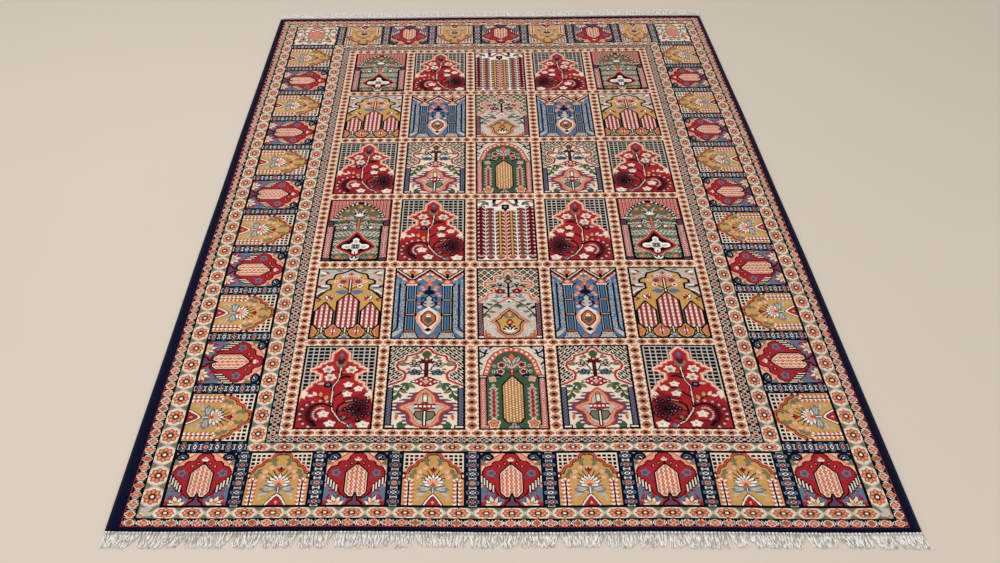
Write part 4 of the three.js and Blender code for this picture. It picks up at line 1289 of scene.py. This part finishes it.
# One face of the rug with a knot chart on it, closed by a rim wall and a plain far side. Blocks of
# 4 x 4 knots are packed into one value a face
def knottedSlab(name, material, top, low):
    rowKnots, columnKnots = chart.shape
    rimCuts = np.array([0.5, 2.0, 5.5]) if top else np.array([])
    cutsU, cutsV = (np.unique(np.concatenate([np.arange(0, n + 1, 4), rimCuts, n - rimCuts]))
                    for n in (columnKnots, rowKnots))
    u, v = np.meshgrid(cutsU, cutsV)
    x, y = weaverPlace(u, v)
    u, v = u / columnKnots, v / rowKnots
    inset = np.minimum(bodyHalf - abs(x), rug["halfLength"] - abs(y))
    z = pileHeight(inset, x, y) if top else np.zeros(x.shape)
    across = outerAt(x, y)
    surface = np.stack([across, alongAt(across, y), z], -1)
    rows, columns = x.shape
    number = np.arange(rows * columns).reshape(rows, columns)
    quads = np.stack([number[:-1, :-1], number[:-1, 1:], number[1:, 1:], number[1:, :-1]], -1)
    loop = np.concatenate([number[0, :-1], number[:-1, -1], number[-1, :0:-1], number[:0:-1, 0]])
    lower = rows * columns + np.arange(len(loop))
    walls = np.stack([lower, np.roll(lower, -1), np.roll(loop, -1), loop], -1)
    points = surface.reshape(-1, 3)
    base = points[loop].copy()
    base[:, 2] = low
    points = np.concatenate([points, base])
    digits = chart.reshape(rowKnots // 4, 4, columnKnots // 4, 4).transpose(0, 2, 1, 3)
    digits = digits.reshape(rowKnots // 4, -1, 16)
    powers = 16.0 ** np.arange(6)
    packed = np.stack([digits[..., :6] @ powers, digits[..., 6:12] @ powers,
                       digits[..., 12:] @ powers[:4]], -1)
    blockU, blockV = ((cuts[:-1] // 4).astype(int) for cuts in (cutsU, cutsV))
    values = packed[blockV][:, blockU].reshape(-1, 3)
    edgeU = np.stack([cutsU[:-1] - 4 * blockU, cutsU[1:] - 4 * blockU], -1)
    edgeV = np.stack([cutsV[:-1] - 4 * blockV, cutsV[1:] - 4 * blockV], -1)
    place = np.zeros((rows - 1, columns - 1, 4, 2))
    for corner, (a, b) in enumerate(((0, 0), (1, 0), (1, 1), (0, 1))):
        place[..., corner, 0] = edgeU[:, a]
        place[..., corner, 1] = edgeV[:, b][:, None]
    bake = np.stack([u, v * bakeStrips["chart"]], -1)
    bakeCorners = np.stack([bake[:-1, :-1], bake[:-1, 1:], bake[1:, 1:], bake[1:, :-1]], 2)
    share = np.arange(len(loop) + 1) / len(loop)
    foot, head = (np.full(len(loop), height) for height in bakeStrips["wall"])
    wallCorners = ((share[:-1], foot), (share[1:], foot), (share[1:], head), (share[:-1], head))
    wallBake = np.stack([np.stack(pair, -1) for pair in wallCorners], 1)
    floorBake = np.stack([u.ravel()[loop],
                          bakeStrips["plain"] + bakeStrips["plainTall"] * v.ravel()[loop]], -1)
    if top:
        quads, floorLoop = quads.reshape(-1, 4), lower[::-1]
        floorBake = floorBake[::-1]
    else:
        quads, walls = quads.reshape(-1, 4)[:, ::-1], walls[:, ::-1]
        place, bakeCorners, wallBake = place[:, :, ::-1], bakeCorners[:, :, ::-1], wallBake[:, ::-1]
        floorLoop = lower
    plain = np.full((len(loop) * 5, 2), 0.5)
    uvMaps = {"knotPlace": np.concatenate([place.reshape(-1, 2), plain]),
              "OFBake": np.concatenate([bakeCorners.reshape(-1, 2), wallBake.reshape(-1, 2), floorBake])}
    values = np.concatenate([values, np.repeat(packed[:1, 0], len(loop) + 1, axis=0)])
    return makePiece(name, points, np.concatenate([quads, walls]), [floorLoop], uvMaps, values, material)


pile = knottedSlab("knotted_pile", pileMaterial(), True, rug["backTop"] + 0.05)
back = knottedSlab("woven_back", backMaterial(), False, rug["backTop"])
print("pile and back made", len(pile.data.polygons), len(back.data.polygons))

# Overcast edges: navy yarn wound round the outer warps, a slanted turn every few millimetres. Their
# ends are narrower
wraps = {"pitch": 3.0, "swell": 0.05, "endSwell": -0.16, "tighter": 0.02, "slant": 1.8,
         "dark": (0.015, 0.035, 0.10), "light": (0.05, 0.10, 0.25)}


# Navy wool, with each turn of it a little lighter or darker than the next
def bindingMaterial():
    material, tree, shader = newMaterial("binding_yarn", **{
        "Roughness": 0.85, "Sheen Weight": 0.08, "Sheen Roughness": 0.5, "Specular IOR Level": 0.15})
    place = node(tree, "TexCoord").outputs["Object"]
    along = node(tree, "SeparateXYZ", {0: place}).outputs[1]
    turn = maths(tree, "FLOOR", maths(tree, "MULTIPLY", along, 333.0))
    own = node(tree, "TexWhiteNoise", {"W": turn}, noise_dimensions="1D").outputs["Value"]
    light = maths(tree, "MULTIPLY_ADD", noise(tree, place, 400.0, 3.0), 0.6,
                  maths(tree, "MULTIPLY", own, 0.4))
    colour = mixed(tree, light, linear(wraps["dark"]), linear(wraps["light"]))
    dress(tree, shader, colour, noise(tree, place, 1100.0), 0.4, 0.0006)
    return material


# The section follows the CAD's: a flat foot, a round shoulder and a flat side against the pile
bindingSection = {"out": (2.4, 6.6, 8.6, 9.0, 8.6, 7.0, 4.6, 2.0, 0.3, 0.0),
                  "height": (0.0, 0.0, 1.1, 3.2, 5.2, 6.8, 7.3, 6.9, 5.0, 2.0), "middle": (4.5, 3.4)}


# The section is carried along the rug's side. It swells and shrinks round its middle by half turns, and
# each ring's top leans along the side, as the turns do
def overcastEdge(name, side, material):
    rng = np.random.default_rng(5 if side < 0 else 6)
    count = int(2 * rug["halfLength"] / wraps["pitch"]) * 2 + 1
    y = np.linspace(-rug["halfLength"], rug["halfLength"], count)
    swell = np.where(np.arange(count) % 2, 1, -1) * wraps["swell"] * rng.uniform(0.6, 1.2, count)
    swell[[0, -1]] = wraps["endSwell"]
    out, height = (np.array(bindingSection[key]) for key in ("out", "height"))
    middleOut, middleHeight = bindingSection["middle"]
    share = swell[:, None] - wraps["tighter"]
    ringOut = middleOut + (out - middleOut) * (1 + share)
    ringHeight = np.maximum(middleHeight + (height - middleHeight) * (1 + share), 0)
    lean = wraps["slant"] * (height / height.max() - 0.5)
    ringY = y[:, None] + lean * np.sin(np.pi * shareAlong(y))[:, None] ** 0.1
    ringY = np.clip(ringY, -rug["halfLength"], rug["halfLength"])
    x = outerAt(side * (rug["halfWidth"] - rug["bindingWidth"] + ringOut), ringY)
    points = np.stack([x, alongAt(x, ringY), ringHeight], -1).reshape(-1, 3)
    sides = len(out)
    r, s = np.meshgrid(np.arange(count - 1), np.arange(sides), indexing="ij")
    first, nextS = r * sides, (s + 1) % sides
    quads = np.stack([first + s, first + sides + s, first + sides + nextS, first + nextS], -1).reshape(-1, 4)
    caps = [np.arange(sides), (count - 1) * sides + np.arange(sides)[::-1]]
    if side < 0:
        quads, caps = quads[:, ::-1], [c[::-1] for c in caps]
    return makePiece(name, points, quads, caps, material=material)


navyYarn = bindingMaterial()
leftEdge = overcastEdge("overcast_edge_left", -1, navyYarn)
rightEdge = overcastEdge("overcast_edge_right", 1, navyYarn)
print("overcast edges made")

# Fringe: each knot at the rug's end ties a few warp threads. The threads of a clump lean and draw together
fringe = {"knots": 230, "threads": 4, "threadStep": 0.2, "clumps": 25, "uneven": 0.42, "tipShare": 0.76,
          "tipScatter": 0.14, "tuftShare": 0.80, "out": 7.0, "inside": 2.5, "root": 1.35, "tip": 1.1,
          "end": 0.45, "halfWaves": 2.6, "rings": 11, "sides": 5}
fringeLay = {"near": {"length": 37, "height": 2.9, "tipHeight": 0.9, "cornerLean": 26, "scatter": 4,
                      "lengthScatter": 0.12, "seed": 1.7, "wave": 5.0, "stray": 4.5, "hook": 7.0},
             "far": {"length": 62, "height": 7.4, "tipHeight": 6.2, "cornerLean": 18, "scatter": 6,
                     "lengthScatter": 0.14, "seed": 4.3, "wave": 5.0, "stray": 5.0, "hook": 7.0}, }


# The CAD's own scatter: a number between -1 and 1 for every item and key
def scatter(item, key):
    wave = np.sin(item * 12.9898 + key * 78.233) * 43758.5453
    return 2 * (wave - np.floor(wave)) - 1


# Cotton yarn with the grooves of its plies, painted shade in streaks between the threads and a painted
# shadow towards the root
def cottonMaterial(name, gapShade, root):
    material, tree, shader = newMaterial(name, **{
        "Roughness": 0.85, "Sheen Weight": 0.3, "Sheen Roughness": 0.6, "Specular IOR Level": 0.3})
    place = node(tree, "TexCoord").outputs["Object"]
    twist = node(tree, "SeparateXYZ", {0: node(tree, "UVMap", uv_map="thread").outputs[0]})
    ply = maths(tree, "MULTIPLY_ADD", twist.outputs[1], 0.45, maths(tree, "MULTIPLY", twist.outputs[0], 2.0))
    groove = maths(tree, "PINGPONG", ply, 0.5)
    fuzz = maths(tree, "MULTIPLY", noise(tree, place, 300.0), 0.75)
    # Painted shade: the colour is a little darker down in the grooves between the plies, mixed with fuzz
    # noise
    shade = maths(tree, "MULTIPLY_ADD", groove, 0.5, fuzz)
    colour = mixed(tree, shade, linear((0.95, 0.935, 0.91)), linear((1.0, 0.995, 0.985)))
    # Painted shade between the threads: noise streaks along the fringe where the colour turns to the gap
    # shade colour
    gapShading = noise(tree, place, 280.0, 2.0, stretch=(1.0, 0.16, 1.0))
    gapShading = maths(tree, "MULTIPLY", maths(tree, "SUBTRACT", gapShading, 0.39), 8.0)
    colour = mixed(tree, gapShading, linear(gapShade), colour)
    # Painted shadow at the roots: the colour is mostly the root argument's shadow colour at the root, and
    # none of it from about 11 mm along
    shadow = maths(tree, "MINIMUM", maths(tree, "MULTIPLY_ADD", twist.outputs[1], 0.075, 0.20), 1.0)
    colour = mixed(tree, shadow, linear(root), colour)
    dress(tree, shader, colour, groove, 0.45, 0.0006)
    return material


# Paths of all threads of one fringe. A clump leans as one, its tufts of a few knots draw together, and
# each thread strays, waves and hooks over a little at its tip
def threadPaths(lay, far):
    rng = np.random.default_rng(21 + far)
    sign = 2 * far - 1
    knot = np.repeat(np.arange(fringe["knots"]), fringe["threads"])
    which = np.tile(np.arange(fringe["threads"]), fringe["knots"]) - (fringe["threads"] - 1) / 2
    spacing = 2 * rug["halfWidth"] / fringe["knots"]
    rootX = -rug["halfWidth"] + (knot + 0.5) * spacing + which * fringe["threadStep"] * spacing
    borders = np.arange(fringe["clumps"] + 1.0)
    borders[1:-1] += fringe["uneven"] * scatter(borders[1:-1], lay["seed"] + 2)
    borders = (2 * borders / fringe["clumps"] - 1) * rug["halfWidth"]
    clump = np.clip(np.searchsorted(borders, rootX) - 1, 0, fringe["clumps"] - 1)
    centre = (borders[clump] + borders[clump + 1]) / 2
    side = centre / rug["halfWidth"]
    drawn = fringe["tipShare"] * (1 + fringe["tipScatter"] * scatter(clump, lay["seed"] + 3))
    lean = lay["cornerLean"] * side * abs(side) ** 0.7 + lay["scatter"] * scatter(clump, lay["seed"])
    length = lay["length"] * (1 + lay["lengthScatter"] * 0.5 * scatter(clump, lay["seed"] + 1))
    own = rng.uniform(-1, 1, (6, len(knot)))
    starts = np.concatenate([[0], np.cumsum(rng.integers(2, 6, fringe["knots"]))])
    tuft = np.searchsorted(starts, knot, side="right") - 1
    tuftMiddle = -rug["halfWidth"] + (starts[tuft] + starts[tuft + 1]) / 2 * spacing
    inTuft = (rootX - tuftMiddle) * fringe["tuftShare"] + lay["stray"] * scatter(tuft, 3.1)
    leant = length * np.tan(np.radians(lean))
    tipX = centre + leant + (tuftMiddle - centre) * drawn + inTuft + lay["stray"] * own[0]
    length = length * (1 + lay["lengthScatter"] * own[1])
    share = np.linspace(0, 1, fringe["rings"])
    phase = np.pi * share * (fringe["halfWaves"] + own[3][:, None]) + 3 * own[4][:, None]
    bend = lay["wave"] * own[2][:, None] * np.sin(phase)
    hook = lay["hook"] * own[5][:, None] ** 3 * np.clip((share - 0.7) / 0.3, 0, 1) ** 2
    x = rootX[:, None] + (tipX - rootX)[:, None] * share ** 1.35 + bend * share ** 0.7 + hook
    out = fringe["out"] - fringe["inside"] + share * (length[:, None] + fringe["inside"])
    radii = (fringe["root"] + (fringe["tip"] - fringe["root"]) * share) * (1 + 0.14 * own[1][:, None])
    radii[:, -1] *= fringe["end"]
    layer = (0.5 + 0.5 * own[3][:, None]) * (1.2 * np.sin(np.pi * share) + lay["tipHeight"] * share ** 0.7)
    z = radii[:, :1] * 0.9 + lay["height"] * (1 - share) ** 1.6 + layer
    z = np.maximum(z, radii * 1.05)
    y = sign * (rug["halfLength"] + endRise(rootX, far)[:, None] + out)
    x *= 1 + flareAt(rug["halfLength"] * sign) / rug["halfWidth"]
    return np.stack([x, y, z], -1), radii


# A tied knot is a squat bead on the narrow band of plain weave: how far out its rings lie, and how
# thick they are
tiedKnot = {"out": (1.6, 2.4, 3.9, 5.4, 6.6, 7.4), "radius": (1.8, 3.2, 3.7, 3.3, 2.2, 1.0),
            "height": 3.7, "stray": 0.5, "sides": 8}
weaveBand = {"cuts": 401, "out": 1.8, "height": 1.5, "radius": 1.35, "ripple": 0.1, "sides": 10}


# Row of tied knots along the end
def knotPaths(far):
    rng = np.random.default_rng(31 + far)
    sign = 2 * far - 1
    spacing = 2 * rug["halfWidth"] / fringe["knots"]
    x = -rug["halfWidth"] + (np.arange(fringe["knots"]) + 0.5) * spacing
    x += rng.uniform(-tiedKnot["stray"], tiedKnot["stray"], fringe["knots"])
    out = np.array(tiedKnot["out"]) + rng.uniform(-0.4, 0.4, (len(x), 1))
    y = sign * (rug["halfLength"] + endRise(x, far)[:, None] + out)
    radii = np.array(tiedKnot["radius"]) * rng.uniform(0.88, 1.08, (len(x), 1))
    x = x * (1 + flareAt(rug["halfLength"] * sign) / rug["halfWidth"])
    return np.stack([x[:, None] + 0 * out, y, tiedKnot["height"] + 0 * out], -1), radii


# One fringe as one piece: its threads, its knots and the band of plain weave. The knots' place in the
# thread map is moved along by 20 mm, out of the painted shadow at the roots
def makeFringe(name, lay, far, material):
    parts = [tubeMesh(*threadPaths(lay, far), fringe["sides"]),
             tubeMesh(*knotPaths(far), tiedKnot["sides"], flatten=0.9)]
    parts[1][3][:, 1] += 20
    bandX = np.linspace(-rug["halfWidth"] + 1, rug["halfWidth"] - 1, weaveBand["cuts"])
    edge = (2 * far - 1) * (rug["halfLength"] + endRise(bandX, far) + weaveBand["out"])
    band = np.stack([bandX, edge, np.full(weaveBand["cuts"], weaveBand["height"])], -1)[None]
    bandRadii = weaveBand["radius"] + weaveBand["ripple"] * np.sin(np.arange(weaveBand["cuts"]) * 2.3)[None]
    parts.append(tubeMesh(band, bandRadii, weaveBand["sides"], flatten=0.98))
    count, points, quads, ends, faceUv, capUv = 0, [], [], [], [], []
    for partPoints, partQuads, partEnds, corners in parts:
        points.append(partPoints)
        quads.append(partQuads + count)
        ends += [loop + count for loop in partEnds]
        faceUv.append(corners[:partQuads.size])
        capUv.append(corners[partQuads.size:])
        count += len(partPoints)
    return makePiece(name, np.concatenate(points), np.concatenate(quads), ends,
                     {"thread": np.concatenate(faceUv + capUv)}, material=material)


# The near fringe's cotton has darker painted shade between its threads and a darker painted shadow at its
# roots than the far fringe's
cottons = {"near": cottonMaterial("cotton_warp", (0.70, 0.66, 0.61), (0.46, 0.40, 0.34)),
           "far": cottonMaterial("cotton_warp_far", (0.94, 0.93, 0.92), (0.80, 0.78, 0.76))}
fringes = {end: makeFringe("warp_fringe_" + end, fringeLay[end], int(end == "far"), cotton)
           for end, cotton in cottons.items()}
print("fringes made")

# Floor and light: a broad soft lamp high above the rug's left half, a weaker one at the near end, and
# pale surroundings
studio = {"floor": (0.85, 0.80, 0.74), "floorHalf": 12, "sky": (1.0, 0.985, 0.96), "skyStrength": 0.56,
          "keyPower": 84.0, "keySize": 4.0, "keyPlace": (-1.6, 0.05, 4.2), "fillPower": 50.0,
          "fillPlace": (0.8, -4.2, 3.6)}


# Axes of a lamp whose -z points at the middle of the rug
def lookDown(place):
    away = place / np.linalg.norm(place)
    side = np.cross((0, 1, 0), away)
    side /= np.linalg.norm(side)
    return side, np.cross(away, side), away


def makeStudio():
    mesh = bpy.data.meshes.new("floor")
    half = studio["floorHalf"]
    mesh.from_pydata([(-half, -half, 0), (half, -half, 0), (half, half, 0), (-half, half, 0)], [],
                     [(0, 1, 2, 3)])
    material, tree, shader = newMaterial("floor", **{"Roughness": 0.55, "Specular IOR Level": 0.3})
    place = node(tree, "TexCoord").outputs["Object"]
    shade = mixed(tree, noise(tree, place, 0.8), linear(studio["floor"]),
                  linear([c * 1.03 for c in studio["floor"]]))
    tree.links.new(shade, shader.inputs["Base Color"])
    mesh.materials.append(material)
    floor = bpy.data.objects.new("floor", mesh)
    bpy.context.scene.collection.objects.link(floor)
    world = bpy.data.worlds.new("studio")
    world.use_nodes = True
    background = world.node_tree.nodes["Background"]
    background.inputs[0].default_value = (*studio["sky"], 1)
    background.inputs[1].default_value = studio["skyStrength"]
    bpy.context.scene.world = world
    for key in ("key", "fill"):
        data = bpy.data.lights.new(key, "AREA")
        data.energy, data.size = studio[key + "Power"], studio["keySize"]
        light = bpy.data.objects.new(key, data)
        place = np.array(studio[key + "Place"])
        turn = Matrix(np.column_stack(lookDown(place)).tolist()).to_4x4()
        light.matrix_world = Matrix.Translation(place) @ turn
        bpy.context.scene.collection.objects.link(light)


makeStudio()
bpy.context.scene.view_settings.view_transform = "Standard"
print("studio made")

for piece, nodes, slot in ((pile, ["rug_body"], "wool_pile"), (back, [], "wool_pile"),
                           (leftEdge, ["side_binding_left"], "binding_yarn"),
                           (rightEdge, ["side_binding_right"], "binding_yarn"),
                           (fringes["near"], ["fringe_near"], "cotton_warp"),
                           (fringes["far"], ["fringe_far"], "cotton_warp")):
    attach(piece, "root")
    if nodes:
        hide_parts(*nodes)
